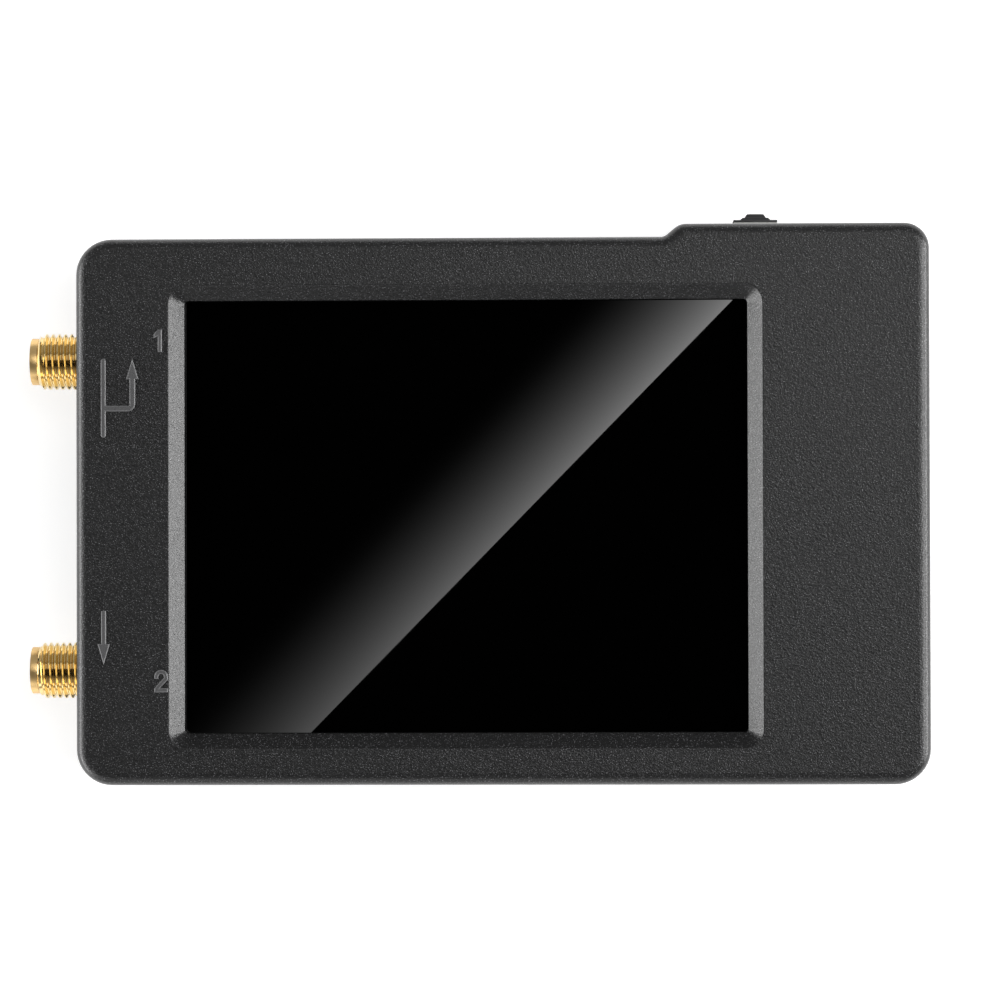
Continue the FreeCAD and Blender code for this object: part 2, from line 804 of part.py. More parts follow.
def thread_rings():
    """Crests and roots of the thread, one pair of flanks to a pitch."""
    root = thread_radius - thread_depth
    flank = thread_depth * math.tan(math.radians(thread_flank_angle))
    points = []
    for turn in range(thread_count):
        middle = thread_start + turn * thread_pitch
        points += [(middle - thread_crest / 2 - flank, root),
                   (middle - thread_crest / 2, thread_radius),
                   (middle + thread_crest / 2, thread_radius),
                   (middle + thread_crest / 2 + flank, root)]
    return points


def port_body(y):
    total = board_x0 - port_tip_x
    root = thread_radius - thread_depth
    shelf = nose_length + thread_lead_in
    profile = [(0, socket_radius), (0, nose_radius - nose_round), (nose_round, nose_radius),
               (nose_length, nose_radius), (shelf, nose_radius + thread_lead_in),
               (shelf + thread_run_in, root)]
    profile += thread_rings()
    last_root = profile[-1][0]
    profile += [(last_root + thread_run_in, barrel_radius), (total, barrel_radius),
                (total, insulator_radius), (socket_depth, insulator_radius),
                (socket_depth, socket_radius)]
    barrel = turned(profile, port_tip_x, y)
    half = flange_size / 2
    flange = box(board_x0 - flange_thickness, board_x0, y - half, y + half,
                 port_z - half, port_z + half)
    flange = flange.cut(rod_x(board_x0 - flange_thickness, board_x0, y, port_z,
                              barrel_radius - join_overlap))
    return fuse_all([barrel, flange] + port_legs(y))


def port_legs(y):
    """Four solder legs that grip the board's edge."""
    outer = flange_size / 2
    legs = []
    for y0 in (y - outer, y + outer - leg_width):
        for z0 in (board_back_z - leg_thickness, board_front_z):
            legs.append(box(board_x0, board_x0 + leg_length, y0, y0 + leg_width,
                            z0, z0 + leg_thickness))
    return legs


def port_insulator(y):
    x0 = port_tip_x + socket_depth + insulator_set_back
    plug = rod_x(x0, board_x0, y, port_z, insulator_radius)
    return plug.cut(rod_x(x0 - 1, board_x0 + 1, y, port_z, contact_radius))


def port_contact(y):
    x0 = port_tip_x + socket_depth + insulator_set_back
    barrel = rod_x(x0, board_x0, y, port_z, contact_radius)
    tail = rod_x(board_x0 - join_overlap, board_x0 + contact_tail_length, y, port_z,
                 contact_tail_radius)
    contact = fuse_all([barrel, tail])
    return contact.cut(rod_x(x0 - 1, x0 + contact_bore_depth, y, port_z,
                             contact_bore_radius))


# ================================================================ USB-C socket
def usb_section(shrink, x0, x1):
    return side_slot(x0, x1, usb_from_centre, usb_z,
                     usb_width - 2 * shrink, usb_height - 2 * shrink)


def usb_shell():
    back_x = usb_mouth_x - usb_depth
    return usb_section(0, back_x, usb_mouth_x).cut(
        usb_section(usb_metal, back_x - 1, usb_mouth_x + 1))


def usb_tongue():
    back_x = usb_mouth_x - usb_depth
    block = usb_section(usb_metal, back_x, back_x + usb_block_depth)
    half = usb_tongue_thickness / 2
    blade = box(back_x + usb_block_depth - join_overlap, usb_mouth_x - usb_tongue_recess,
                usb_from_centre - usb_tongue_width / 2,
                usb_from_centre + usb_tongue_width / 2, usb_z - half, usb_z + half)
    return fuse_all([block, blade])


def usb_contacts():
    x0 = usb_mouth_x - usb_depth + usb_block_depth
    x1 = usb_mouth_x - usb_tongue_recess - usb_contact_end
    half = usb_tongue_thickness / 2
    first = usb_from_centre - (usb_contacts_per_side - 1) * usb_contact_pitch / 2
    strips = []
    for i in range(usb_contacts_per_side):
        y = first + i * usb_contact_pitch
        for z0 in (usb_z + half, usb_z - half - usb_contact_thickness):
            strips.append(box(x0, x1, y - usb_contact_width / 2, y + usb_contact_width / 2,
                              z0, z0 + usb_contact_thickness))
    return Part.makeCompound(strips)


# ================================================================ power switch
def power_switch_base():
    x1 = board_x1 - switch_metal - switch_gap
    half = switch_length / 2
    body = box(switch_x0, x1, switch_y - half, switch_y + half,
               board_back_z - switch_height + switch_metal, board_back_z)
    room = switch_slider_length / 2 + switch_travel / 2 + switch_end_gap
    slot_half = switch_slider_height / 2 + switch_gap
    pocket = box(x1 - switch_slider_depth - switch_gap, x1 + 1, switch_y - room,
                 switch_y + room, switch_z - slot_half, switch_z + slot_half)
    return body.cut(pocket)


def power_switch_frame():
    x1 = board_x1 - switch_gap
    x0 = x1 - switch_metal
    half = switch_length / 2
    face = box(x0, x1, switch_y - half, switch_y + half,
               board_back_z - switch_height, board_back_z)
    knob = switch_knob / 2 + switch_gap
    slot = box(x0 - 1, x1 + 1, switch_y - switch_travel / 2 - knob,
               switch_y + switch_travel / 2 + knob, switch_z - knob, switch_z + knob)
    plate = box(switch_x0, x1, switch_y - half, switch_y + half,
                board_back_z - switch_height, board_back_z - switch_height + switch_metal)
    tabs = [box(switch_x0 + switch_tab_inset, x1 - switch_tab_inset, y0, y0 + switch_metal,
                board_back_z - switch_height, board_back_z)
            for y0 in (switch_y - half - switch_metal, switch_y + half)]
    return fuse_all([face.cut(slot), plate] + tabs)


def power_switch_knob():
    x1 = board_x1 - switch_metal - switch_gap
    half = switch_slider_length / 2
    slider = box(x1 - switch_slider_depth, x1 - switch_gap, knob_rest_y - half,
                 knob_rest_y + half, switch_z - switch_slider_height / 2,
                 switch_z + switch_slider_height / 2)
    knob = switch_knob / 2
    stem = box(x1 - switch_gap - join_overlap, knob_tip_x, knob_rest_y - knob,
               knob_rest_y + knob, switch_z - knob, switch_z + knob)
    return fuse_all([slider, stem])


# ================================================================ lever switch
def lever_switch_base():
    inner = lever_base_inner / 2
    outer = inner + lever_base_wall
    y0 = base_rear_y - lever_base_rear
    floor = box(lever_x - outer, lever_x + outer, y0, base_front_y,
                lever_floor_z, board_back_z)
    rear = box(lever_x - outer, lever_x + outer, y0, base_rear_y,
               lever_cover_z, board_back_z)
    sides = []
    stops = []
    for way in (-1, 1):
        x0, x1 = sorted((lever_x + way * inner, lever_x + way * outer))
        sides.append(box(x0, x1, y0, base_front_y, lever_cover_z, board_back_z))
        x0, x1 = sorted((lever_x + way * (inner - front_stop_width), lever_x + way * outer))
        stops.append(box(x0, x1, front_stop_y, base_front_y, carriage_z0, board_back_z))
    return fuse_all([floor, rear] + sides + stops)


def lever_switch_cover():
    outer = lever_base_inner / 2 + lever_base_wall
    y0 = base_rear_y - lever_base_rear
    z0 = lever_cover_z - lever_cover_metal
    plate = box(lever_x - outer - lever_cover_metal, lever_x + outer + lever_cover_metal,
                y0, base_front_y, z0, lever_cover_z)
    legs = []
    for way in (-1, 1):
        x0, x1 = sorted((lever_x + way * outer, lever_x + way * (outer + lever_cover_metal)))
        for leg_y in (y0 + cover_leg_inset, base_front_y - cover_leg_inset - cover_leg_width):
            legs.append(box(x0, x1, leg_y, leg_y + cover_leg_width, z0, board_back_z))
    return fuse_all([plate] + legs)


def lever_carriage():
    half = lever_base_inner / 2 - lever_slide_gap
    y0 = pivot_y - carriage_rear
    plate = box(lever_x - half, lever_x + half, y0, pivot_y + carriage_front,
                carriage_z0, carriage_z1)
    tail = box(lever_x - half, lever_x + half, y0, y0 + carriage_tail, eye_z0, carriage_z1)
    nub = Part.makeCylinder(nub_radius, carriage_nub + join_overlap,
                            Vector(lever_x, nub_y, (eye_z0 + carriage_z1) / 2),
                            Vector(0, 1, 0))
    carriage = fuse_all([plate, tail, nub])
    return carriage.cut(post(lever_x, pivot_y, carriage_z0 - 1, pin_top_z, pin_radius))


def lever_pin():
    return post(lever_x, pivot_y, eye_z0 - lever_slide_gap, pin_top_z, pin_radius)


def lever_spring():
    """Hairpin that centres the lever: a bow round the pin, its legs on the carriage."""
    z0 = eye_z1 + lever_slide_gap
    height = carriage_z0 - lever_slide_gap / 2 - z0
    inner = spring_radius - spring_wire / 2
    outer = spring_radius + spring_wire / 2
    middle = Vector(lever_x, pivot_y, z0)
    bow = Part.makeCylinder(outer, height, middle, Vector(0, 0, 1), 180)
    bow = bow.cut(Part.makeCylinder(inner, height, middle))
    rest_y = pivot_y - carriage_rear + carriage_tail
    legs = [box(lever_x + side - spring_wire / 2, lever_x + side + spring_wire / 2,
                rest_y, pivot_y, z0, z0 + height) for side in (-spring_radius, spring_radius)]
    return fuse_all([bow] + legs)


def click_dome():
    """Thin snap dome on the base's rear wall, bulging towards the carriage."""
    radius = (dome_radius ** 2 + dome_rise ** 2) / (2 * dome_rise)
    middle = Vector(lever_x, dome_tip_y - radius, (eye_z0 + carriage_z1) / 2)
    skin = Part.makeSphere(radius, middle).cut(
        Part.makeSphere(radius - dome_thickness, middle))
    rim = Part.makeCylinder(dome_radius, 2 * dome_rise,
                            Vector(middle.x, base_rear_y, middle.z), Vector(0, 1, 0))
    return skin.common(rim)


def lever_stem():
    eye = post(lever_x, pivot_y, eye_z0, eye_z1, eye_radius)
    half = neck_width / 2
    step_y = base_front_y + stem_step_gap
    neck = box(lever_x - half, lever_x + half, pivot_y, step_y + join_overlap,
               eye_z0, eye_z1)
    low = lever_mid_z - stem_thickness / 2
    high = lever_mid_z + stem_thickness / 2
    shaft = box(lever_x - half, lever_x + half, step_y,
                raised_y + shoulder_gap + join_overlap, low, high)
    rise = cap_thickness / 2 - shoulder_inset
    wide = shoulder_width / 2
    shoulder = prism(rectangle(lever_x - wide, lever_x + wide, raised_y + shoulder_gap,
                               raised_y + shoulder_top, cap_edge_radius),
                     lever_mid_z - rise, lever_mid_z + rise)
    stem = fuse_all([eye, neck, shaft, shoulder])
    return stem.cut(post(lever_x, pivot_y, eye_z0 - 1, eye_z1 + 1, pin_radius + pin_gap))


def lever_cap():
    """Stepped thumb piece: low rim, middle step and a slightly crowned top."""
    rim, step, top = cap_rim_width / 2, cap_step_width / 2, cap_top_width / 2
    y0 = raised_y + shoulder_top
    rim_y = raised_y + cap_rim_top
    step_y = raised_y + cap_step_top
    tip_y = raised_y + cap_top
    groove = rim - cap_rim_land - cap_groove_width
    right_half = [(rim, y0, 0), (rim, rim_y, cap_edge_radius),
                  (rim - cap_rim_land, rim_y, 0), (groove, rim_y - cap_groove_depth, 0),
                  (step, step_y, 0), (step - cap_step_land, step_y, cap_edge_radius),
                  (top, tip_y - cap_crown, cap_edge_radius)]
    crown = [(0, tip_y, cap_crown_radius)]
    left_half = [(-x, y, radius) for x, y, radius in reversed(right_half)]
    corners = [(lever_x + x, y, radius) for x, y, radius in right_half + crown + left_half]
    z0 = lever_mid_z - cap_thickness / 2
    z1 = z0 + cap_thickness
    cap = prism(corners, z0, z1)
    side = Part.makePolygon([Vector(lever_x - rim - 1, y, z) for y, z in (
        (y0 - 1, z0), (tip_y - cap_bevel, z0), (tip_y, z0 + cap_bevel),
        (tip_y, z1 - cap_bevel), (tip_y - cap_bevel, z1), (y0 - 1, z1), (y0 - 1, z0))])
    return cap.common(Part.Face(side).extrude(Vector(cap_rim_width + 2, 0, 0)))


# ================================================================ parts on the board's back
def on_board(x, y, length, width, height):
    """Plain block seated on the board's back face, centred at x, y."""
    return box(x - length / 2, x + length / 2, y - width / 2, y + width / 2,
               board_back_z - height, board_back_z)


def leaded_chip(x, y, length, width, height, pins, pitch, all_round):
    """Moulded chip with flat legs along its two long sides, or all round."""
    body = box(x - length / 2, x + length / 2, y - width / 2, y + width / 2,
               board_back_z - height, board_back_z - chip_stand)
    reach = leg_foot_length / 2 - leg_foot_overlap
    leg_metal = pitch * leg_metal_share
    legs = []
    first = -(pins - 1) * pitch / 2
    for i in range(pins):
        along = first + i * pitch
        for way in (-1, 1):
            foot_y = y + way * (width / 2 + reach)
            legs.append(on_board(x + along, foot_y, leg_metal, leg_foot_length,
                                 leg_foot_height))
            if all_round:
                foot_x = x + way * (length / 2 + reach)
                legs.append(on_board(foot_x, y + along, leg_foot_length, leg_metal,
                                     leg_foot_height))
    return fuse_all([body] + legs)


def so8_chip(x, y):
    return leaded_chip(x, y, so8_length, so8_width, so8_height, 4, so8_pitch, False)


def column_of(x, y, count, height, step):
    return [on_board(x, y + i * step, small_part_length, small_part_width, height)
            for i in range(count)]


def shield_frame(y0):
    x1 = shield_x0 + shield_length
    y1 = y0 + shield_width
    z0 = board_back_z - shield_height
    outer = box(shield_x0, x1, y0, y1, z0, board_back_z)
    return outer.cut(box(shield_x0 + shield_metal, x1 - shield_metal, y0 + shield_metal,
                         y1 - shield_metal, z0 - 1, board_back_z + 1))


def shield_cover(y0):
    gap = shield_skirt_gap
    x0, x1 = shield_x0 - gap, shield_x0 + shield_length + gap
    ya, yb = y0 - gap, y0 + shield_width + gap
    z1 = board_back_z - shield_height
    metal = shield_metal
    pan = box(x0 - metal, x1 + metal, ya - metal, yb + metal, z1 - metal, z1 + shield_skirt)
    return pan.cut(box(x0, x1, ya, yb, z1, z1 + shield_skirt + 1))


def shield_middles():
    return [y0 + shield_width / 2 for y0 in shield_rows]


def mixer_chips():
    near, far = shield_middles()
    first_x = shield_x0 + chip_to_shield + so8_length / 2
    second_x = first_x + so8_length + chip_gap
    return Part.makeCompound([so8_chip(first_x, near), so8_chip(first_x, far),
                              so8_chip(second_x, far)])


def clock_x():
    return shield_x0 + chip_to_shield + so8_length + chip_gap + clock_side / 2


def clock_generator():
    return leaded_chip(clock_x(), shield_middles()[0], clock_side, clock_side,
                       clock_height, 5, fine_pitch, False)


def reference_oscillator():
    x = clock_x() + clock_side / 2 + chip_gap + oscillator_length / 2
    return on_board(x, shield_middles()[0], oscillator_length, oscillator_width,
                    oscillator_height)


def microcontroller():
    return leaded_chip(controller_x, controller_y, controller_side, controller_side,
                       controller_height, controller_legs, fine_pitch, True)


def audio_codec():
    return on_board(controller_x, board_y0 + codec_from_bottom + codec_side / 2,
                    codec_side, codec_side, codec_height)


def charger_chip():
    return so8_chip(controller_x + charger_step, controller_y)


def power_inductor():
    block = on_board(controller_x + charger_step + inductor_step, controller_y,
                     inductor_side, inductor_side, inductor_height)
    upright = [edge for edge in block.Edges
               if edge.BoundBox.ZLength > inductor_height / 2]
    return block.makeChamfer(inductor_corner, upright)


def chip_resistors():
    low = column_of(controller_x - column_offset, board_y0 + column_from_ends, 6,
                    resistor_height, column_step)
    high = column_of(controller_x + column_offset, board_y1 - column_from_ends, 4,
                     resistor_height, -column_step)
    return Part.makeCompound(low + high)


def chip_capacitors():
    low = column_of(controller_x + column_offset, board_y0 + column_from_ends, 5,
                    capacitor_height, column_step)
    high = column_of(controller_x - column_offset, board_y1 - column_from_ends, 5,
                     capacitor_height, -column_step)
    return Part.makeCompound(low + high)


def status_leds():
    """Two lamps below the USB-C socket, at the board's edge."""
    first = usb_from_centre - usb_width / 2 - led_gap - small_part_width / 2
    x = board_x1 - small_part_length / 2 - led_inset
    return Part.makeCompound(column_of(x, first, 2, led_height, -led_step))


# ================================================================ battery and its lead
def battery_cell():
    half = battery_width / 2
    z1 = battery_z0 + battery_thickness
    cell = prism(rectangle(battery_x0, battery_x1, -half, half, battery_corner_radius),
                 battery_z0, z1)
    long_edges = [edge for edge in cell.Edges
                  if edge.BoundBox.XLength > battery_length / 2]
    return cell.makeFillet(battery_edge_radius, long_edges)


def battery_tape():
    inset = battery_tape_inset
    half = battery_width / 2
    return box(battery_x0 + inset, battery_x1 - inset, -half + inset, half - inset,
               rear_wall, battery_z0)


def battery_tab_board():
    half = tab_board_thickness / 2
    middle = plug_from_centre + tab_board_width / 2 - lead_from_tab_end
    return box(battery_x1, tab_board_x1, middle - tab_board_width / 2,
               middle + tab_board_width / 2, battery_mid_z - half, battery_mid_z + half)


def lead_path(y):
    points = [Vector(tab_board_x1, y, battery_mid_z),
              Vector(tab_board_x1 + lead_end_run, y, battery_mid_z),
              Vector(plug_x0 - lead_end_run, y, plug_z),
              Vector(plug_x0, y, plug_z)]
    turn = (points[1] - points[0]).getAngle(points[2] - points[1])
    bend = lead_bend_share * lead_end_run / math.tan(turn / 2)
    return Part.Wire(rounded_edges(points, [0, bend, bend, 0], False))


def battery_lead(y):
    ring = Part.Wire(Part.makeCircle(lead_radius, Vector(tab_board_x1, y, battery_mid_z),
                                     Vector(1, 0, 0)))
    return lead_path(y).makePipeShell([ring], True, False)


def battery_plug():
    half, rise = plug_width / 2, plug_height / 2
    return box(plug_x0, plug_x0 + plug_length, plug_from_centre - half,
               plug_from_centre + half, plug_z - rise, plug_z + rise)


def battery_socket():
    outer = plug_width / 2 + socket_gap + socket_wall
    x1 = plug_x0 + plug_length + socket_gap + socket_wall
    body = box(battery_socket_x0, x1, plug_from_centre - outer, plug_from_centre + outer,
               board_back_z - battery_socket_height, board_back_z)
    inner, rise = plug_width / 2 + socket_gap, plug_height / 2 + socket_gap
    return body.cut(box(battery_socket_x0 - 1, plug_x0 + plug_length + socket_gap,
                        plug_from_centre - inner, plug_from_centre + inner,
                        plug_z - rise, plug_z + rise))


# ================================================================ all pieces
def all_pieces():
    half_lead = lead_spacing / 2
    return {
        "front_shell": front_shell(),
        "rear_cover": rear_cover(),
        "case_screws": case_screws(),
        "window_gasket": window_gasket(),
        "touch_panel": panel(0, glass_top_z, touch_top_z),
        "touch_flex": touch_flex(),
        "lcd_glass": panel(0, backlight_top_z, glass_top_z),
        "lcd_backlight": panel(backlight_inset, display_tape_top_z, backlight_top_z),
        "lcd_flex": lcd_flex(),
        "display_tape": panel(display_tape_inset, board_front_z, display_tape_top_z),
        "main_board": main_board(),
        "port_1_body": port_body(port_1_y),
        "port_1_insulator": port_insulator(port_1_y),
        "port_1_contact": port_contact(port_1_y),
        "port_2_body": port_body(port_2_y),
        "port_2_insulator": port_insulator(port_2_y),
        "port_2_contact": port_contact(port_2_y),
        "shield_frames": Part.makeCompound([shield_frame(y) for y in shield_rows]),
        "shield_covers": Part.makeCompound([shield_cover(y) for y in shield_rows]),
        "usb_shell": usb_shell(),
        "usb_tongue": usb_tongue(),
        "usb_contacts": usb_contacts(),
        "power_switch_frame": power_switch_frame(),
        "power_switch_base": power_switch_base(),
        "power_switch_knob": power_switch_knob(),
        "lever_switch_base": lever_switch_base(),
        "lever_switch_cover": lever_switch_cover(),
        "lever_carriage": lever_carriage(),
        "lever_stem": lever_stem(),
        "lever_cap": lever_cap(),
        "lever_pin": lever_pin(),
        "lever_spring": lever_spring(),
        "click_dome": click_dome(),
        "microcontroller": microcontroller(),
        "clock_generator": clock_generator(),
        "mixer_chips": mixer_chips(),
        "audio_codec": audio_codec(),
        "charger_chip": charger_chip(),
        "power_inductor": power_inductor(),
        "reference_oscillator": reference_oscillator(),
        "chip_resistors": chip_resistors(),
        "chip_capacitors": chip_capacitors(),
        "status_leds": status_leds(),
        "battery_cell": battery_cell(),
        "battery_tape": battery_tape(),
        "battery_tab_board": battery_tab_board(),
        "battery_lead_red": battery_lead(plug_from_centre + half_lead),
        "battery_lead_black": battery_lead(plug_from_centre - half_lead),
        "battery_plug": battery_plug(),
        "battery_socket": battery_socket(),
    }


def write_steps():
    os.makedirs("parts", exist_ok=True)
    for name, shape in all_pieces().items():
        if not shape.isValid():
            raise ValueError("invalid shape: " + name)
        shape.exportStep("parts/" + name + ".step")
        print(name, len(shape.Solids), "solid(s)", round(shape.Volume, 2), "mm3")


write_steps()
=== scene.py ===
import functools
import math

import bmesh
import bpy
from mathutils import Matrix, Vector


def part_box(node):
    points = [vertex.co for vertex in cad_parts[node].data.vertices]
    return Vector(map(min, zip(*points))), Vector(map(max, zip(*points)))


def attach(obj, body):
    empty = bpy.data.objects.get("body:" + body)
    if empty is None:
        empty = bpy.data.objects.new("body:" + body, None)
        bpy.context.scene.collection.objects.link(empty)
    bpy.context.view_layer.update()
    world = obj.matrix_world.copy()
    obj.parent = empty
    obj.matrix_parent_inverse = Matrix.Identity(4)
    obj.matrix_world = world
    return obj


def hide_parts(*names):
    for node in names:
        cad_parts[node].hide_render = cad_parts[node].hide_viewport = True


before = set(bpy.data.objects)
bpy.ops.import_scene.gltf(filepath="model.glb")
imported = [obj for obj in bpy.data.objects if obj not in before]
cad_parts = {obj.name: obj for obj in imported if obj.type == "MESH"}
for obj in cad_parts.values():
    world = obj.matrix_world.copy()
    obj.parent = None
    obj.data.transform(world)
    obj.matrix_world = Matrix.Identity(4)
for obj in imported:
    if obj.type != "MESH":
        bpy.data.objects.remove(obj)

# Pocket antenna analyzer, lying on its back: a black moulded case, a glossy touch screen, two gold
# threaded coaxial ports, a thumb lever, and what the case holds. Metres, screen towards +Z, lever
# towards +Y, ports towards -X. Shapes are drawn in millimetres and scaled when they are finished.

bl_info = {
    "name": "Pocket antenna analyzer",
    "version": (1, 0, 0),
    "blender": (4, 5, 0),
    "location": "3D View > Sidebar > Analyzer",
    "description": "Finishes and fine pieces of a pocket antenna analyzer",
    "category": "Object",
}

MM = 0.001
ROUND_STEPS = 72                  # segments of a full turn on the ports
SHARP_EDGE = math.radians(32)     # a new piece is smooth where it bends less than this


# ---------------------------------------------------------------- colours, places and nodes
def linear(code):
    """An sRGB hex colour as linear red, green, blue and alpha."""
    channels = [int(code[i:i + 2], 16) / 255 for i in (1, 3, 5)]
    return tuple(c / 12.92 if c <= 0.04045 else ((c + 0.055) / 1.055) ** 2.4
                 for c in channels) + (1.0,)


def colour_setting(name, what, code):
    return bpy.props.FloatVectorProperty(name=name, description="Colour of " + what,
                                         subtype="COLOR", size=4, min=0.0, max=1.0,
                                         default=linear(code))


def length_setting(name, description, millimetres):
    return bpy.props.FloatProperty(name=name, description=description, subtype="DISTANCE",
                                   unit="LENGTH", min=0.0, precision=5,
                                   default=millimetres * MM)


def level_setting(name, description, level):
    return bpy.props.FloatProperty(name=name, description=description, min=0.0, default=level)


def low_high(node):
    """Lowest and highest corner of a node, in millimetres."""
    low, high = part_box(node)
    return low / MM, high / MM


SHARE, LOW, HIGH = 0, 6, 7     # inputs of a Mix node that blends two colours


def set_inputs(owner, node, inputs):
    """Gives each input its value, or links it to the node or the output that feeds it."""
    for key, value in dict(inputs).items():
        if isinstance(value, bpy.types.Node):
            value = next(socket for socket in value.outputs if socket.enabled)
        if isinstance(value, bpy.types.NodeSocket):
            owner.node_tree.links.new(value, node.inputs[key])
        else:
            node.inputs[key].default_value = value


def add_node(owner, kind, inputs=(), **settings):
    """Adds a node with its settings and its inputs to a material or a world."""
    node = owner.node_tree.nodes.new("ShaderNode" + kind)
    for key, value in settings.items():
        setattr(node, key, value)
    set_inputs(owner, node, inputs)
    return node


def begin(name, constants):
    """A new material with its surface constants, what adds nodes to it, and Object coordinates
    in millimetres."""
    material = bpy.data.materials.new(name)
    material.use_nodes = True
    add = functools.partial(add_node, material)
    mm = add("VectorMath", {0: add("TexCoord").outputs["Object"], "Scale": 1 / MM},
             operation="SCALE")
    return finished(material, constants), add, mm


def finished(material, inputs):
    """The material, with these inputs of its surface shader set."""
    set_inputs(material, material.node_tree.nodes["Principled BSDF"], inputs)
    return material


def facing(add):
    """The surface's own direction, one output to an axis."""
    return add("SeparateXYZ", {"Vector": add("NewGeometry").outputs["Normal"]})


def dress(nodes, material):
    """Gives CAD nodes their material."""
    for name in nodes:
        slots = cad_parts[name].data.materials
        slots.clear()
        slots.append(material)


# ---------------------------------------------------------------- objects and meshes
def add_object(name, data):
    made = bpy.data.objects.new(name, data)
    bpy.context.scene.collection.objects.link(made)
    return made


def mesh_object(name, bm, material):
    """A new object of a drawn mesh in one material."""
    mesh = bpy.data.meshes.new(name)
    bm.to_mesh(mesh)
    bm.free()
    mesh.materials.append(material)
    return add_object(name, mesh)


def finish_piece(name, bm, material, body, stands_for):
    """Makes an object of a mesh drawn in millimetres, and hangs it on its body in place of the
    CAD node that it stands for."""
    bmesh.ops.scale(bm, vec=(MM, MM, MM), verts=bm.verts)
    bmesh.ops.recalc_face_normals(bm, faces=bm.faces)
    piece = mesh_object(name, bm, material)
    for polygon in piece.data.polygons:
        polygon.use_smooth = True
    piece.data.set_sharp_from_angle(angle=SHARP_EDGE)
    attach(piece, body)
    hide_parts(stands_for)


def wire(bm, points):
    """A line of edges through points given as (along X, radius)."""
    verts = [bm.verts.new((x, radius, 0)) for x, radius in points]
    edges = [bm.edges.new(pair) for pair in zip(verts, verts[1:])]
    return verts + edges


def lathe(bm, points, steps=ROUND_STEPS):
    """Turns a closed profile of (along X, radius) points about the X axis."""
    geometry = wire(bm, points + points[:1])
    bmesh.ops.remove_doubles(bm, verts=[v for v in geometry if isinstance(v, bmesh.types.BMVert)],
                             dist=1e-5)
    geometry = [part for part in geometry if part.is_valid]
    bmesh.ops.spin(bm, geom=geometry, cent=(0, 0, 0), axis=(1, 0, 0), angle=math.tau,
                   steps=steps, use_merge=True)


def round_edges(bm, edges, radius, segments=2, clamp_overlap=False):
    bmesh.ops.bevel(bm, geom=edges, offset=radius, segments=segments, profile=0.5,
                    affect="EDGES", material=-1, clamp_overlap=clamp_overlap)


def block(bm, low, high, edge_radius):
    """A box between two corners, with rounded edges."""
    verts = bmesh.ops.create_cube(bm, size=1.0)["verts"]
    bmesh.ops.scale(bm, vec=Vector(high) - Vector(low), verts=verts)
    bmesh.ops.translate(bm, vec=(Vector(low) + Vector(high)) / 2, verts=verts)
    round_edges(bm, list({edge for vert in verts for edge in vert.link_edges}), edge_radius)


def round_ring(bm, x, radius, edge_radius, segments):
    """Rounds the edge that runs round the X axis at x with that radius."""
    def on_ring(vert):
        return (abs(vert.co.x - x) < 1e-3
                and abs(math.hypot(vert.co.y, vert.co.z) - radius) < 1e-3)
    ring = [edge for edge in bm.edges if all(on_ring(vert) for vert in edge.verts)]
    round_edges(bm, ring, edge_radius, segments)


# ---------------------------------------------------------------- settings
class CaseSettings(bpy.types.PropertyGroup):
    plastic: colour_setting("Plastic", "the moulded case", "#060607")
    # painted glints: lighter points in the base colour that stand in for the grain's sparkle
    painted_glint: colour_setting("Glint", "the bright points in the grain", "#626264")
    # painted light: the marks' top colour is a painted sheen and their edge colour a painted
    # highlight
    mark: colour_setting("Marks", "the raised marks' tops", "#484849")
    mark_edge_painted_highlight: colour_setting("Mark edges", "the raised marks' edges", "#686869")
    grain: length_setting("Grain size", "Width of one bump of the spark-eroded grain", 0.22)
    grain_depth: length_setting("Grain depth", "Height of the grain", 0.055)
    mark_height: length_setting("Mark height", "Height of the raised marks over the face", 0.2)
    screw: colour_setting("Screws", "the blackened screws", "#3a3b3d")


class ScreenSettings(bpy.types.PropertyGroup):
    glass: colour_setting("Glass", "the black-backed glass", "#010101")
    foam: colour_setting("Gasket", "the foam gasket", "#161617")
    cell: colour_setting("Display cell", "the unlit display cell", "#23262a")
    diffuser: colour_setting("Diffuser", "the backlight", "#eceeec")
    film: colour_setting("Flex film", "the amber film", "#b8741d")
    copper: colour_setting("Flex tracks", "the tracks under the film", "#d99a4a")


class PortSettings(bpy.types.PropertyGroup):
    gold: colour_setting("Gold", "the gold plate", "#f2dba3")
    warm: colour_setting("Warm gold", "the plate where it is thicker", "#e8c988")
    nose: colour_setting("Satin gold", "the satin nose", "#edc88a")
    bead: colour_setting("Insulator", "the insulators", "#ecebe6")
    pitch: length_setting("Thread pitch", "Distance between two crests", 0.7056)
    crest: length_setting("Crest width", "Width of the flat on each crest", 0.15)
    major_radius: length_setting("Crest radius", "Radius over the crests", 3.175)
    root_radius: length_setting("Root radius", "Radius between the crests", 2.775)
    first_crest_1: length_setting("First crest, port 1", "Tip to the first crest", 1.65)
    first_crest_2: length_setting("First crest, port 2", "Tip to the first crest", 1.34)
    nose_radius: length_setting("Nose radius", "Radius of the plain nose", 2.65)
    nose_length: length_setting("Nose length", "Length of the plain nose", 0.82)
    mouth_radius: length_setting("Mouth radius", "Radius of the socket's mouth", 2.32)
    mouth_depth: length_setting("Mouth depth", "Depth of the socket's mouth", 1.9)
    barrel_radius: length_setting("Barrel radius", "Radius of the plain barrel", 2.95)
    flange: length_setting("Flange", "Side of the square flange", 6.35)
    flange_thickness: length_setting("Flange thickness", "Thickness of the flange", 1.7)
    leg_width: length_setting("Leg width", "Width of each solder leg", 1.2)
    leg_height: length_setting("Leg height", "Thickness of each solder leg", 0.9)
    leg_length: length_setting("Leg length", "Length of each solder leg", 4.0)
    slot_width: length_setting("Contact slots", "Width of the slots in the contact", 0.16)
    slot_depth: length_setting("Slot depth", "Length of the slots in the contact", 1.7)


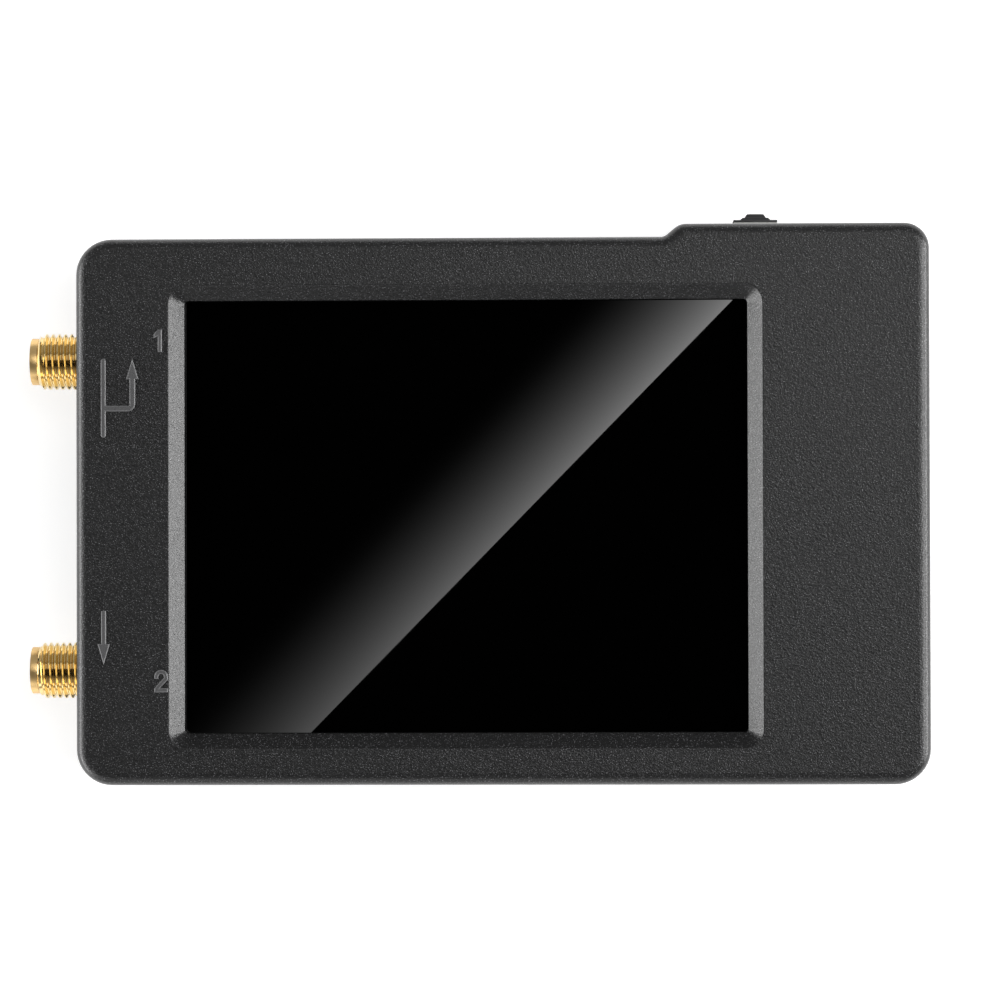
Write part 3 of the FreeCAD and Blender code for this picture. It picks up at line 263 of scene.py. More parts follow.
class LeverSettings(bpy.types.PropertyGroup):
    cap: colour_setting("Thumb piece", "the thumb piece", "#29292a")
    stem: colour_setting("Stem", "the lever's stem", "#c4c4c0")
    cap_edge: length_setting("Edge radius", "Rounding of the thumb piece's edges", 0.06)
    nylon: colour_setting("Switch bodies", "the glass-filled nylon", "#1d1d1f")
    steel: colour_setting("Stainless", "the stainless sheet", "#b9babb")


class BoardSettings(bpy.types.PropertyGroup):
    mask: colour_setting("Solder mask", "the board", "#0e1b2e")
    masked_track: colour_setting("Tracks", "tracks under the mask", "#1c3350")
    laminate: colour_setting("Board edge", "the cut glass epoxy", "#a59a6c")
    track: length_setting("Track width", "Width of the copper tracks", 0.2)
    tin: colour_setting("Tin plate", "the tin plate", "#c9cac9")
    chip: colour_setting("Chips", "the moulding compound", "#202123")
    capacitor: colour_setting("Capacitors", "the fired capacitors", "#a9835a")
    resistor: colour_setting("Resistors", "the resistors' glaze", "#17181a")
    ferrite: colour_setting("Inductor", "the ferrite block", "#4a4b4e")
    end_cap: length_setting("End caps", "Length of the small parts' tinned ends", 0.35)


class BatterySettings(bpy.types.PropertyGroup):
    pouch: colour_setting("Pouch", "the cell's pouch", "#b9bbbe")
    tape: colour_setting("Tape", "the foam tapes", "#dedcd4")
    red: colour_setting("Red lead", "the red lead", "#b01a17")
    black: colour_setting("Black lead", "the black lead", "#161616")
    connector: colour_setting("Connector", "the connector", "#e7e1cf")


class StudioSettings(bpy.types.PropertyGroup):
    floor: colour_setting("Floor", "the floor", "#f2f2f2")
    white: level_setting("White floor", "How strongly the floor shows white", 0.5)
    room: level_setting("Room", "Brightness of the room round the object", 0.38)
    lamps: level_setting("Lamps", "Brightness of all lamps together", 1.0)
    card: level_setting("Reflected card", "Brightness of the card the screen reflects", 5.55)


# ---------------------------------------------------------------- finishes of the outside
def spark_eroded_abs(look):
    """Black ABS from a spark-eroded mould: an even fine grain with painted glints on the flat
    faces, a calmer skin on rounded edges and slopes, and dull raised marks with a lighter painted
    sheen on their tops and a still lighter painted highlight on their sides."""
    material, add, mm = begin("spark_eroded_black_abs", {"IOR": 1.53})
    grain_mm = look.grain / MM
    bumps = add("TexNoise", {"Vector": mm, "Scale": 1 / grain_mm, "Detail": 1.0, "Roughness": 0.4})
    pits = add("TexNoise", {"Vector": mm, "Scale": 1.8 / grain_mm, "Detail": 0.0})
    height = add("Math", {0: pits, 1: 0.4, 2: bumps}, operation="MULTIPLY_ADD")
    upward = facing(add).outputs["Z"]
    flat = add("MapRange", {"Value": upward, "From Min": 0.86, "From Max": 0.98, "To Min": 0.4})
    relief = add("Bump", {"Height": height, "Strength": flat, "Distance": look.grain_depth})
    # painted glints: small points of the grain painted lighter in the base colour, standing in
    #     # for the sparkle of light they would catch
    painted_glint = add("MapRange", {"Value": pits, "From Min": 0.67, "From Max": 0.77})
    plastic = add("Mix", {SHARE: painted_glint, LOW: look.plastic, HIGH: look.painted_glint}, data_type="RGBA")
    # the raised marks stand above the front face
    face_top = low_high("front_shell")[1].z - look.mark_height / MM
    z = add("SeparateXYZ", {"Vector": mm}).outputs["Z"]
    on_mark = add("MapRange", {"Value": z, "From Min": face_top + 0.03,
                               "From Max": face_top + 0.08})
    # painted light: the level tops of the marks get a lighter painted sheen, their sloped sides a
    # still lighter painted highlight
    level_top = add("MapRange", {"Value": upward, "From Min": 0.8, "From Max": 0.95})
    marks = add("Mix", {SHARE: level_top, LOW: look.mark_edge_painted_highlight, HIGH: look.mark}, data_type="RGBA")
    colour = add("Mix", {SHARE: on_mark, LOW: plastic, HIGH: marks}, data_type="RGBA")
    # the grain's tops are worn a little smoother, and so are edges and slopes
    worn = add("MapRange", {"Value": height, "From Min": 0.55, "From Max": 0.9,
                            "To Min": 0.43, "To Max": 0.35})
    calm = add("MapRange", {"Value": flat, "From Min": 0.4, "To Min": 0.75})
    skin = add("Math", {0: worn, 1: calm}, operation="MULTIPLY")
    dull = add("Math", {0: on_mark, 1: 0.5}, operation="MULTIPLY")
    rough = add("Math", {0: skin, 1: dull}, operation="MAXIMUM")
    return finished(material, {"Base Color": colour, "Roughness": rough, "Normal": relief})


def blackened_steel(look):
    """Screws with a black oxide finish: dark, a little oily, scuffed where the driver turns."""
    material, add, mm = begin("black_oxide_steel", {"Metallic": 1.0})
    scuff = add("TexNoise", {"Vector": mm, "Scale": 1 / 0.6, "Detail": 4.0})
    worn = add("MapRange", {"Value": scuff, "From Min": 0.55, "From Max": 0.7})
    rough = add("MapRange", {"Value": worn, "To Min": 0.5, "To Max": 0.3})
    tone = add("Mix", {SHARE: worn, LOW: look.screw, HIGH: linear("#6d6d70")}, data_type="RGBA")
    return finished(material, {"Base Color": tone, "Roughness": rough})


def black_backed_glass(look):
    """Float glass printed black on its back: a deep gloss with the faintest haze of handling."""
    material, add, mm = begin("black_backed_glass", {"Base Color": look.glass, "IOR": 1.52})
    haze = add("TexNoise", {"Vector": mm, "Scale": 1 / 9.0, "Detail": 3.0})
    rough = add("MapRange", {"Value": haze, "From Min": 0.4, "From Max": 0.7,
                             "To Min": 0.004, "To Max": 0.009})
    return finished(material, {"Roughness": rough})


def gold_plate(look):
    """Gold plated over turned brass: bright, with fine turning lines round the axis."""
    material, add, mm = begin("gold_plated_brass", {"Metallic": 1.0})
    lines = add("Mapping", {"Vector": mm, "Scale": (14.0, 0.35, 0.35)})
    turning = add("TexNoise", {"Vector": lines, "Scale": 1.0, "Detail": 3.0})
    cloud = add("TexNoise", {"Vector": mm, "Scale": 1 / 1.3, "Detail": 2.0})
    bright = add("MapRange", {"Value": turning, "To Min": 0.07, "To Max": 0.22})
    # the plain nose in front of the thread is satin and a shade warmer, from a tumbling pass
    nose_x = low_high("port_1_body")[0].x + look.nose_length / MM
    x = add("SeparateXYZ", {"Vector": mm}).outputs["X"]
    satin = add("MapRange", {"Value": x, "From Min": nose_x - 0.05, "From Max": nose_x + 0.05,
                             "To Min": 1.0, "To Max": 0.0})
    dull = add("Math", {0: satin, 1: 0.36}, operation="MULTIPLY")
    rough = add("Math", {0: bright, 1: dull}, operation="MAXIMUM")
    plate = add("Mix", {SHARE: cloud, LOW: look.gold, HIGH: look.warm}, data_type="RGBA")
    relief = add("Bump", {"Height": turning, "Strength": 0.25, "Distance": 0.004 * MM})
    tone = add("Mix", {SHARE: satin, LOW: plate, HIGH: look.nose}, data_type="RGBA")
    return finished(material, {"Base Color": tone, "Roughness": rough, "Normal": relief})


def turned_ptfe(look):
    """PTFE bead: waxy white and a little translucent, with faint turning rings."""
    material, add, mm = begin("turned_ptfe", {
        "Roughness": 0.45, "IOR": 1.35, "Subsurface Weight": 0.25, "Subsurface Scale": 0.4 * MM})
    rings = add("TexNoise", {"Vector": mm, "Scale": 1 / 0.5})
    tone = add("Mix", {SHARE: rings, LOW: look.bead, HIGH: linear("#dedcd4")}, data_type="RGBA")
    return finished(material, {"Base Color": tone})


def moulded_acetal(name, colour, shade, roughness):
    """Moulded acetal: dense and smooth with a soft sheen and the faintest flow marks."""
    material, add, mm = begin(name, {"IOR": 1.48, "Roughness": roughness})
    flow = add("TexNoise", {"Vector": mm, "Scale": 1 / 0.9, "Detail": 3.0})
    skin = add("TexNoise", {"Vector": mm, "Scale": 1 / 0.07, "Detail": 1.0})
    relief = add("Bump", {"Height": skin, "Strength": 0.3, "Distance": 0.008 * MM})
    tone = add("Mix", {SHARE: flow, LOW: colour, HIGH: shade}, data_type="RGBA")
    return finished(material, {"Base Color": tone, "Normal": relief})


# ---------------------------------------------------------------- finishes of the display
def closed_cell_foam(look):
    """Black polyethylene foam: small closed cells, dull all over."""
    material, add, mm = begin("closed_cell_foam", {"Base Color": look.foam, "Roughness": 0.9})
    cells = add("TexVoronoi", {"Vector": mm, "Scale": 1 / 0.25})
    relief = add("Bump", {"Height": cells, "Strength": 0.7, "Distance": 0.05 * MM})
    return finished(material, {"Normal": relief})


def display_cell(look):
    """Two sheets of thin glass with a polariser on them: dark and glossy, with a clearer greenish
    ledge at the end where its flat cable is bonded."""
    material, add, mm = begin("polarised_display_glass", {"IOR": 1.52, "Coat Weight": 0.4})
    ledge_length = 3.0
    ledge_x = low_high("lcd_glass")[1].x - ledge_length
    x = add("SeparateXYZ", {"Vector": mm}).outputs["X"]
    ledge = add("MapRange", {"Value": x, "From Min": ledge_x - 0.05, "From Max": ledge_x + 0.05})
    cloud = add("TexNoise", {"Vector": mm, "Scale": 1 / 6.0, "Detail": 2.0})
    film = add("Mix", {SHARE: cloud, LOW: look.cell, HIGH: linear("#1b1e24")}, data_type="RGBA")
    rough = add("MapRange", {"Value": ledge, "To Min": 0.16, "To Max": 0.05})
    tone = add("Mix", {SHARE: ledge, LOW: film, HIGH: linear("#5c6f68")}, data_type="RGBA")
    return finished(material, {"Base Color": tone, "Roughness": rough})


def diffuser_tray(look):
    """White polycarbonate tray and diffuser of the backlight: matt, with the light guide's
    moulded dots, drawn at 0.8 mm because the real ones are too fine to show."""
    material, add, mm = begin("moulded_diffuser_tray", {
        "Roughness": 0.5, "IOR": 1.58, "Subsurface Weight": 0.15, "Subsurface Scale": 0.5 * MM})
    dots = add("TexVoronoi", {"Vector": mm, "Scale": 1 / 0.8, "Randomness": 0.0})
    dot = add("MapRange", {"Value": dots, "From Min": 0.22, "From Max": 0.3})
    relief = add("Bump", {"Height": dot, "Strength": 0.4, "Distance": 0.03 * MM})
    tone = add("Mix", {SHARE: dot, LOW: linear("#dfe4e4"), HIGH: look.diffuser}, data_type="RGBA")
    return finished(material, {"Base Color": tone, "Normal": relief})


def polyimide_flex(look):
    """Etched flat cable: amber polyimide film over copper tracks that run along it, slightly
    raised; their real 0.15 mm pitch is drawn at 0.5 mm so that it shows."""
    material, add, mm = begin("etched_polyimide_flex", {"IOR": 1.7, "Roughness": 0.32})
    pitch = 0.5
    # at scale 1 the bands of this texture repeat every 0.1 pi
    tracks = add("TexWave", {"Vector": mm, "Scale": 0.1 * math.pi / pitch, "Distortion": 0.0},
                 bands_direction="Y")
    track = add("MapRange", {"Value": tracks.outputs["Fac"], "From Min": 0.45, "From Max": 0.6})
    relief = add("Bump", {"Height": track, "Strength": 0.5, "Distance": 0.03 * MM})
    tone = add("Mix", {SHARE: track, LOW: look.film, HIGH: look.copper}, data_type="RGBA")
    return finished(material, {"Base Color": tone, "Normal": relief})


def acrylic_foam_tape(name, colour):
    """Double-sided foam tape: soft grey-white with tiny pores and a dull, tacky skin."""
    material, add, mm = begin(name, {"Roughness": 0.75})
    pores = add("TexVoronoi", {"Vector": mm, "Scale": 1 / 0.35})
    pore = add("MapRange", {"Value": pores, "From Min": 0.12, "From Max": 0.3})
    relief = add("Bump", {"Height": pore, "Strength": 0.5, "Distance": 0.05 * MM})
    # the pores are painted darker: painted shade in their hollows
    tone = add("Mix", {SHARE: pore, LOW: linear("#a8a69e"), HIGH: colour}, data_type="RGBA")
    return finished(material, {"Base Color": tone, "Normal": relief})


# ---------------------------------------------------------------- finishes of the board
def solder_masked_board(look):
    """Etched and masked glass-epoxy board: glossy dark mask that shows the tracks under it as
    slightly raised lighter lines, tinned vias, and a tan cut edge."""
    material, add, mm = begin("solder_masked_glass_epoxy", {"IOR": 1.52})
    track_mm = look.track / MM
    tracks = add("TexBrick", {"Vector": mm, "Scale": 1.0, "Mortar Size": track_mm / 2,
                              "Mortar Smooth": 0.3, "Brick Width": 3.4, "Row Height": 1.1})
    via_place = add("TexVoronoi", {"Vector": mm, "Scale": 1 / 3.1})
    via = add("MapRange", {"Value": via_place, "From Min": 0.09, "From Max": 0.07})
    upright = add("Math", {0: facing(add).outputs["Z"]}, operation="ABSOLUTE")
    edge = add("Math", {0: upright, 1: 0.5}, operation="LESS_THAN")
    masked = add("Mix", {SHARE: tracks.outputs["Fac"], LOW: look.mask, HIGH: look.masked_track},
                 data_type="RGBA")
    plated = add("Mix", {SHARE: via, LOW: masked, HIGH: look.tin}, data_type="RGBA")
    weave = add("TexNoise", {"Vector": mm, "Scale": 1 / 0.3})
    cut = add("Mix", {SHARE: weave, LOW: look.laminate, HIGH: linear("#8b8054")}, data_type="RGBA")
    rough = add("MapRange", {"Value": edge, "To Min": 0.28, "To Max": 0.8})
    relief = add("Bump", {"Height": tracks.outputs["Fac"], "Strength": 0.6,
                          "Distance": 0.035 * MM})
    tone = add("Mix", {SHARE: edge, LOW: plated, HIGH: cut}, data_type="RGBA")
    return finished(material, {"Base Color": tone, "Metallic": via, "Roughness": rough,
                               "Normal": relief})


def tin_plate(look):
    """Pressed tin-plated steel: grey-white and softly bright, with the faint rolling lines of
    sheet and a cloudy bloom."""
    material, add, mm = begin("pressed_tin_plate", {"Metallic": 1.0})
    along = add("Mapping", {"Vector": mm, "Scale": (0.5, 9.0, 9.0)})
    rolling = add("TexNoise", {"Vector": along, "Scale": 1.0, "Detail": 3.0})
    bloom = add("TexNoise", {"Vector": mm, "Scale": 1 / 4.0, "Detail": 3.0})
    rough = add("MapRange", {"Value": bloom, "To Min": 0.28, "To Max": 0.5})
    relief = add("Bump", {"Height": rolling, "Strength": 0.3, "Distance": 0.005 * MM})
    tone = add("Mix", {SHARE: bloom, LOW: look.tin, HIGH: linear("#aeb0af")}, data_type="RGBA")
    return finished(material, {"Base Color": tone, "Roughness": rough, "Normal": relief})


def drawn_stainless(name, colour, along):
    """Drawn or pressed stainless sheet: clean grey with fine lines along the way it was drawn."""
    material, add, mm = begin(name, {"Metallic": 1.0})
    stretched = add("Mapping", {"Vector": mm, "Scale": along})
    lines = add("TexNoise", {"Vector": stretched, "Scale": 1.0, "Detail": 4.0})
    rough = add("MapRange", {"Value": lines, "To Min": 0.18, "To Max": 0.42})
    relief = add("Bump", {"Height": lines, "Strength": 0.3, "Distance": 0.004 * MM})
    tone = add("Mix", {SHARE: lines, LOW: colour, HIGH: linear("#9c9d9f")}, data_type="RGBA")
    return finished(material, {"Base Color": tone, "Roughness": rough, "Normal": relief})


def glass_filled_nylon(look):
    """Moulded nylon with glass fibre: short paler streaks under a dull skin."""
    material, add, mm = begin("glass_filled_nylon", {"IOR": 1.53, "Roughness": 0.55})
    along = add("Mapping", {"Vector": mm, "Scale": (1.0, 5.0, 5.0)})
    fibre = add("TexNoise", {"Vector": along, "Scale": 1 / 0.35, "Detail": 2.0})
    streak = add("MapRange", {"Value": fibre, "From Min": 0.55, "From Max": 0.75})
    relief = add("Bump", {"Height": fibre, "Strength": 0.4, "Distance": 0.01 * MM})
    tone = add("Mix", {SHARE: streak, LOW: look.nylon, HIGH: linear("#3c3c40")}, data_type="RGBA")
    return finished(material, {"Base Color": tone, "Normal": relief})


def outside_of(add, mm, middles, half_x, half_y):
    """1 outside the rectangles round the given middles, 0 inside them."""
    place = add("SeparateXYZ", {"Vector": mm})
    margin = 0.01
    outside = 1.0
    for x, y in middles:
        within_x = add("Math", {0: place.outputs["X"], 1: x, 2: half_x + margin},
                       operation="COMPARE")
        within_y = add("Math", {0: place.outputs["Y"], 1: y, 2: half_y + margin},
                       operation="COMPARE")
        inside = add("Math", {0: within_x, 1: within_y}, operation="MULTIPLY")
        here = add("Math", {0: 1.0, 1: inside}, operation="SUBTRACT")
        outside = add("Math", {0: outside, 1: here}, operation="MULTIPLY")
    return outside


def moulded_chip(look, node, middles, half_x, half_y):
    """Chip in black epoxy moulding compound with tinned legs: a fine matt mould skin, a small
    round dimple at the first leg, bright satin legs."""
    material, add, mm = begin("epoxy_moulded_" + node, {"IOR": 1.55})
    legs = outside_of(add, mm, middles, half_x, half_y)
    skin = add("TexNoise", {"Vector": mm, "Scale": 1 / 0.12, "Detail": 2.0})
    flat = add("Mapping", {"Vector": mm, "Scale": (1, 1, 0)})
    inset = 0.7
    x, y = middles[0]
    dimple_middle = (x - half_x + inset, y - half_y + inset, 0)
    away = add("VectorMath", {0: flat, 1: dimple_middle}, operation="DISTANCE")
    dimple = add("MapRange", {"Value": away, "From Min": 0.25, "From Max": 0.32})
    surface = add("Math", {0: skin, 1: 0.12, 2: dimple}, operation="MULTIPLY_ADD")
    relief = add("Bump", {"Height": surface, "Strength": 0.7, "Distance": 0.05 * MM})
    epoxy = add("Mix", {SHARE: skin, LOW: look.chip, HIGH: linear("#2b2c2f")}, data_type="RGBA")
    rough = add("MapRange", {"Value": legs, "To Min": 0.6, "To Max": 0.34})
    tone = add("Mix", {SHARE: legs, LOW: epoxy, HIGH: look.tin}, data_type="RGBA")
    return finished(material, {"Base Color": tone, "Metallic": legs, "Roughness": rough,
                               "Normal": relief})


def end_capped_part(look, node, name, top, sides):
    """Small fired part with tinned ends: its glaze on the outer face, its ceramic at the sides,
    and a soft grey tin cap at each end."""
    material, add, mm = begin(name, {"IOR": 1.6})
    low, high = low_high(node)
    half_x = 0.8     # half the length of one part
    columns = sorted({round(low.x + half_x, 3), round(high.x - half_x, 3)})
    middle_y = (low.y + high.y) / 2
    caps = outside_of(add, mm, [(x, middle_y) for x in columns], half_x - look.end_cap / MM,
                      high.y - low.y)
    grain = add("TexNoise", {"Vector": mm, "Scale": 1 / 0.15, "Detail": 2.0})
    outer = add("Math", {0: facing(add).outputs["Z"], 1: -0.5}, operation="LESS_THAN")
    fired = add("Mix", {SHARE: outer, LOW: sides, HIGH: top}, data_type="RGBA")
    mottled = add("Mix", {SHARE: 0.25, LOW: fired, HIGH: grain.outputs["Color"]},
                  data_type="RGBA", blend_type="SOFT_LIGHT")
    rough = add("MapRange", {"Value": caps, "To Min": 0.32, "To Max": 0.42})
    tone = add("Mix", {SHARE: caps, LOW: mottled, HIGH: look.tin}, data_type="RGBA")
    return finished(material, {"Base Color": tone, "Metallic": caps, "Roughness": rough})


def sintered_ferrite(look):
    """Pressed and sintered ferrite: dark grey and granular, its grains paler towards their edges.
    """
    material, add, mm = begin("sintered_ferrite", {"Roughness": 0.6, "IOR": 1.9})
    grains = add("TexVoronoi", {"Vector": mm, "Scale": 1 / 0.18})
    relief = add("Bump", {"Height": grains, "Strength": 0.5, "Distance": 0.03 * MM})
    tone = add("Mix", {SHARE: grains, LOW: look.ferrite, HIGH: linear("#5d5e61")},
               data_type="RGBA")
    return finished(material, {"Base Color": tone, "Normal": relief})


def lidded_oscillator():
    """Crystal in a ceramic tray: brown alumina sides under a brushed nickel lid."""
    material, add, mm = begin("nickel_lidded_alumina", {})
    lid_edge = low_high("reference_oscillator")[0].z + 0.25
    z = add("SeparateXYZ", {"Vector": mm}).outputs["Z"]
    lid = add("Math", {0: z, 1: lid_edge}, operation="LESS_THAN")
    along = add("Mapping", {"Vector": mm, "Scale": (1.0, 12.0, 1.0)})
    brushed = add("TexNoise", {"Vector": along, "Scale": 1.0, "Detail": 3.0})
    metal = add("Mix", {SHARE: brushed, LOW: linear("#b4b09f"), HIGH: linear("#cdc9ba")},
                data_type="RGBA")
    rough = add("MapRange", {"Value": lid, "To Min": 0.55, "To Max": 0.3})
    tone = add("Mix", {SHARE: lid, LOW: linear("#5a4436"), HIGH: metal}, data_type="RGBA")
    return finished(material, {"Base Color": tone, "Metallic": lid, "Roughness": rough})


def led_epoxy():
    """Lamps cast in clear epoxy over a yellow phosphor spot, with gold-plated ends."""
    material, add, mm = begin("cast_led_epoxy", {"IOR": 1.5, "Coat Weight": 0.6})
    low, high = low_high("status_leds")
    middle = (low + high) / 2
    half_lens, half_spot = 0.45, 0.25
    ends = outside_of(add, mm, [(middle.x, middle.y)], half_lens, high.y - low.y)
    x = add("SeparateXYZ", {"Vector": mm}).outputs["X"]
    spots = add("Math", {0: x, 1: middle.x, 2: half_spot}, operation="COMPARE")
    cloud = add("TexNoise", {"Vector": mm, "Scale": 1 / 0.3})
    clear = add("Mix", {SHARE: cloud, LOW: linear("#e9e6d4"), HIGH: linear("#dcd8c2")},
                data_type="RGBA")
    body = add("Mix", {SHARE: spots, LOW: clear, HIGH: linear("#d9c64a")}, data_type="RGBA")
    rough = add("MapRange", {"Value": ends, "To Min": 0.2, "To Max": 0.35})
    tone = add("Mix", {SHARE: ends, LOW: body, HIGH: linear("#d9b876")}, data_type="RGBA")
    return finished(material, {"Base Color": tone, "Metallic": ends, "Roughness": rough})


# ---------------------------------------------------------------- finishes of the battery
def laminated_pouch(look):
    """Aluminium laminate pouch of the cell: silver satin film, puckered over the cell's ends
    and softly wrinkled by the vacuum that seals it."""
    material, add, mm = begin("laminated_aluminium_pouch", {
        "Metallic": 0.85, "Coat Weight": 0.3, "Coat Roughness": 0.3})
    folds = add("TexNoise", {"Vector": mm, "Scale": 1 / 7.0, "Detail": 3.0, "Distortion": 0.8})
    film = add("TexNoise", {"Vector": mm, "Scale": 1 / 0.4, "Detail": 2.0})
    surface = add("Math", {0: film, 1: 0.08, 2: folds}, operation="MULTIPLY_ADD")
    relief = add("Bump", {"Height": surface, "Strength": 0.8, "Distance": 0.5 * MM})
    rough = add("MapRange", {"Value": film, "To Min": 0.3, "To Max": 0.45})
    tone = add("Mix", {SHARE: film, LOW: look.pouch, HIGH: linear("#a7a9ac")}, data_type="RGBA")
    return finished(material, {"Base Color": tone, "Roughness": rough, "Normal": relief})


def taped_tab_board():
    """Protection board wrapped in amber polyimide tape: glossy film over the green board, with
    the edges of its small parts pressing through."""
    material, add, mm = begin("taped_protection_board", {"IOR": 1.7, "Roughness": 0.25})
    parts = add("TexVoronoi", {"Vector": mm, "Scale": 1 / 1.6}, distance="CHEBYCHEV")
    part = add("MapRange", {"Value": parts, "From Min": 0.3, "From Max": 0.42})
    relief = add("Bump", {"Height": part, "Strength": 0.6, "Distance": 0.15 * MM})
    tone = add("Mix", {SHARE: part, LOW: linear("#8a6a14"), HIGH: linear("#a9851f")},
               data_type="RGBA")
    return finished(material, {"Base Color": tone, "Normal": relief})


def pvc_insulation(name, colour, shade):
    """Extruded PVC sleeve of a lead: even gloss, a little cloudy along its length."""
    material, add, mm = begin(name, {"IOR": 1.54, "Roughness": 0.3})
    along = add("Mapping", {"Vector": mm, "Scale": (0.4, 3.0, 3.0)})
    cloud = add("TexNoise", {"Vector": along, "Scale": 1.0, "Detail": 2.0})
    relief = add("Bump", {"Height": cloud, "Strength": 0.2, "Distance": 0.01 * MM})
    tone = add("Mix", {SHARE: cloud, LOW: colour, HIGH: shade}, data_type="RGBA")
    return finished(material, {"Base Color": tone, "Normal": relief})


def natural_nylon(look):
    """Moulded natural nylon of the battery connector: waxy ivory, slightly see-through."""
    material, add, mm = begin("moulded_natural_nylon", {
        "IOR": 1.53, "Roughness": 0.42, "Subsurface Weight": 0.2, "Subsurface Scale": 0.4 * MM})
    flow = add("TexNoise", {"Vector": mm, "Scale": 1 / 1.5, "Detail": 3.0})
    tone = add("Mix", {SHARE: flow, LOW: look.connector, HIGH: linear("#d6cfb9")},
               data_type="RGBA")
    return finished(material, {"Base Color": tone})


# ---------------------------------------------------------------- the two threaded ports
def helical_thread(bm, look, first_crest, end):
    """A closed tube that carries the right-hand thread from the nose to end, with a cone at its
    front. The crest passes +Y at first_crest from the tip."""
    pitch, major = look.pitch / MM, look.major_radius / MM
    root, half_crest = look.root_radius / MM, look.crest / MM / 2
    start, nose = look.nose_length / MM, look.nose_radius / MM
    tube_wall = 0.4
    flank = (major - root) * math.tan(math.radians(30))
    turns = math.ceil((end - start) / pitch) + 3
    crest = first_crest - 2 * pitch     # the turns past both ends are cut off below
    geometry = wire(bm, [(crest - pitch / 2, root), (crest - half_crest - flank, root),
                         (crest - half_crest, major), (crest + half_crest, major),
                         (crest + half_crest + flank, root), (crest + pitch / 2, root)])
    bmesh.ops.spin(bm, geom=geometry, cent=(0, 0, 0), axis=(1, 0, 0),
                   dvec=(pitch / ROUND_STEPS, 0, 0), angle=math.tau * turns,
                   steps=ROUND_STEPS * turns)
    bmesh.ops.remove_doubles(bm, verts=bm.verts, dist=0.002)
    for x, at_front in ((start, True), (end, False)):
        everything = bm.verts[:] + bm.edges[:] + bm.faces[:]
        bmesh.ops.bisect_plane(bm, geom=everything, dist=1e-4, plane_co=(x, 0, 0),
                               plane_no=(1, 0, 0), clear_inner=at_front,
                               clear_outer=not at_front)
    for vert in bm.verts:
        pull_in(vert, nose + vert.co.x - start)
    rims = [edge for edge in bm.edges if edge.is_boundary]
    made = bmesh.ops.extrude_edge_only(bm, edges=rims)["geom"]
    for part in made:
        if isinstance(part, bmesh.types.BMVert):
            pull_in(part, root - tube_wall)
    bmesh.ops.bridge_loops(bm, edges=[edge for edge in bm.edges if edge.is_boundary])


def pull_in(vert, radius):
    """Moves a point towards the X axis until it is within radius."""
    now = math.hypot(vert.co.y, vert.co.z)
    if now > radius:
        vert.co.y *= radius / now
        vert.co.z *= radius / now


def port_body_mesh(look, port, first_crest):
    """Nose, thread, barrel, square flange and four solder legs of one port."""
    low = low_high(port + "_body")[0]
    bead_low, bead_high = low_high(port + "_insulator")
    axis, bore = (bead_low + bead_high) / 2, (bead_high.z - bead_low.z) / 2
    board_low, board_high = low_high("main_board")
    length = board_low.x - low.x
    wall = low_high("rear_cover")[0].x - low.x     # where the port enters the case
    nose, nose_end = look.nose_radius / MM, look.nose_length / MM
    mouth, mouth_depth = look.mouth_radius / MM, look.mouth_depth / MM
    core = look.root_radius / MM - 0.12     # inside the thread's tube
    barrel = look.barrel_radius / MM
    undercut, relief_end = 0.14, nose_end + 0.2     # between the nose and the thread's tube
    overlap = 0.05
    nose_edge, fine_edge, flange_edge, leg_edge = 0.26, 0.05, 0.15, 0.08
    bm = bmesh.new()
    helical_thread(bm, look, first_crest, wall + overlap)
    lathe(bm, [(0, mouth), (0, nose), (nose_end, nose), (nose_end, nose - undercut),
               (relief_end, core), (wall - overlap, core), (wall - overlap, barrel),
               (length, barrel), (length, bore), (mouth_depth, bore), (mouth_depth, mouth)])
    round_ring(bm, 0, nose, nose_edge, segments=5)
    round_ring(bm, 0, mouth, fine_edge, segments=2)
    round_ring(bm, nose_end, nose, fine_edge, segments=2)
    half = look.flange / MM / 2
    front = length - look.flange_thickness / MM
    block(bm, (front, -half, -half), (length, half, half), flange_edge)
    leg = Vector((look.leg_length, look.leg_width, look.leg_height)) / MM
    leg_root = length - 0.5     # inside the flange
    for y in (-half, half - leg.y):
        for z in (board_low.z - axis.z - leg.z, board_high.z - axis.z):
            block(bm, (leg_root, y, z), (length + leg.x, y + leg.y, z + leg.z), leg_edge)
    bmesh.ops.translate(bm, vec=(low.x, axis.y, axis.z), verts=bm.verts)
    return bm


def port_contact_mesh(look, port):
    """Gold socket contact: four spring fingers, a closed sleeve and a solder tail."""
    low, high = low_high(port + "_contact")
    middle = (low + high) / 2
    outer, inner, tail, centre = (high.z - low.z) / 2, 0.47, 0.4, 0.02
    sleeve_end, tail_end, bore_end = low_high("main_board")[0].x - low.x, high.x - low.x, 2.6
    tail_edge, fingers = 0.08, 4
    depth, gap = look.slot_depth / MM, look.slot_width / MM / outer
    bm = bmesh.new()
    for finger in range(fingers):
        verts = [bm.verts.new((x, radius, 0)) for x, radius in
                 ((0, inner), (0, outer), (depth, outer), (depth, inner))]
        face = bm.faces.new(verts)
        turn = finger * math.tau / fingers + gap / 2
        bmesh.ops.rotate(bm, verts=verts, cent=(0, 0, 0), matrix=Matrix.Rotation(turn, 3, "X"))
        bmesh.ops.spin(bm, geom=[face] + list(face.edges) + verts, cent=(0, 0, 0),
                       axis=(1, 0, 0), angle=math.tau / fingers - gap, steps=8)
    lathe(bm, [(depth, inner), (depth, outer), (sleeve_end, outer), (sleeve_end, tail),
               (tail_end, tail), (tail_end, centre), (bore_end, centre), (bore_end, inner)],
          steps=40)
    round_ring(bm, tail_end, tail, tail_edge, segments=3)
    bmesh.ops.translate(bm, vec=(low.x, middle.y, middle.z), verts=bm.verts)
    return bm


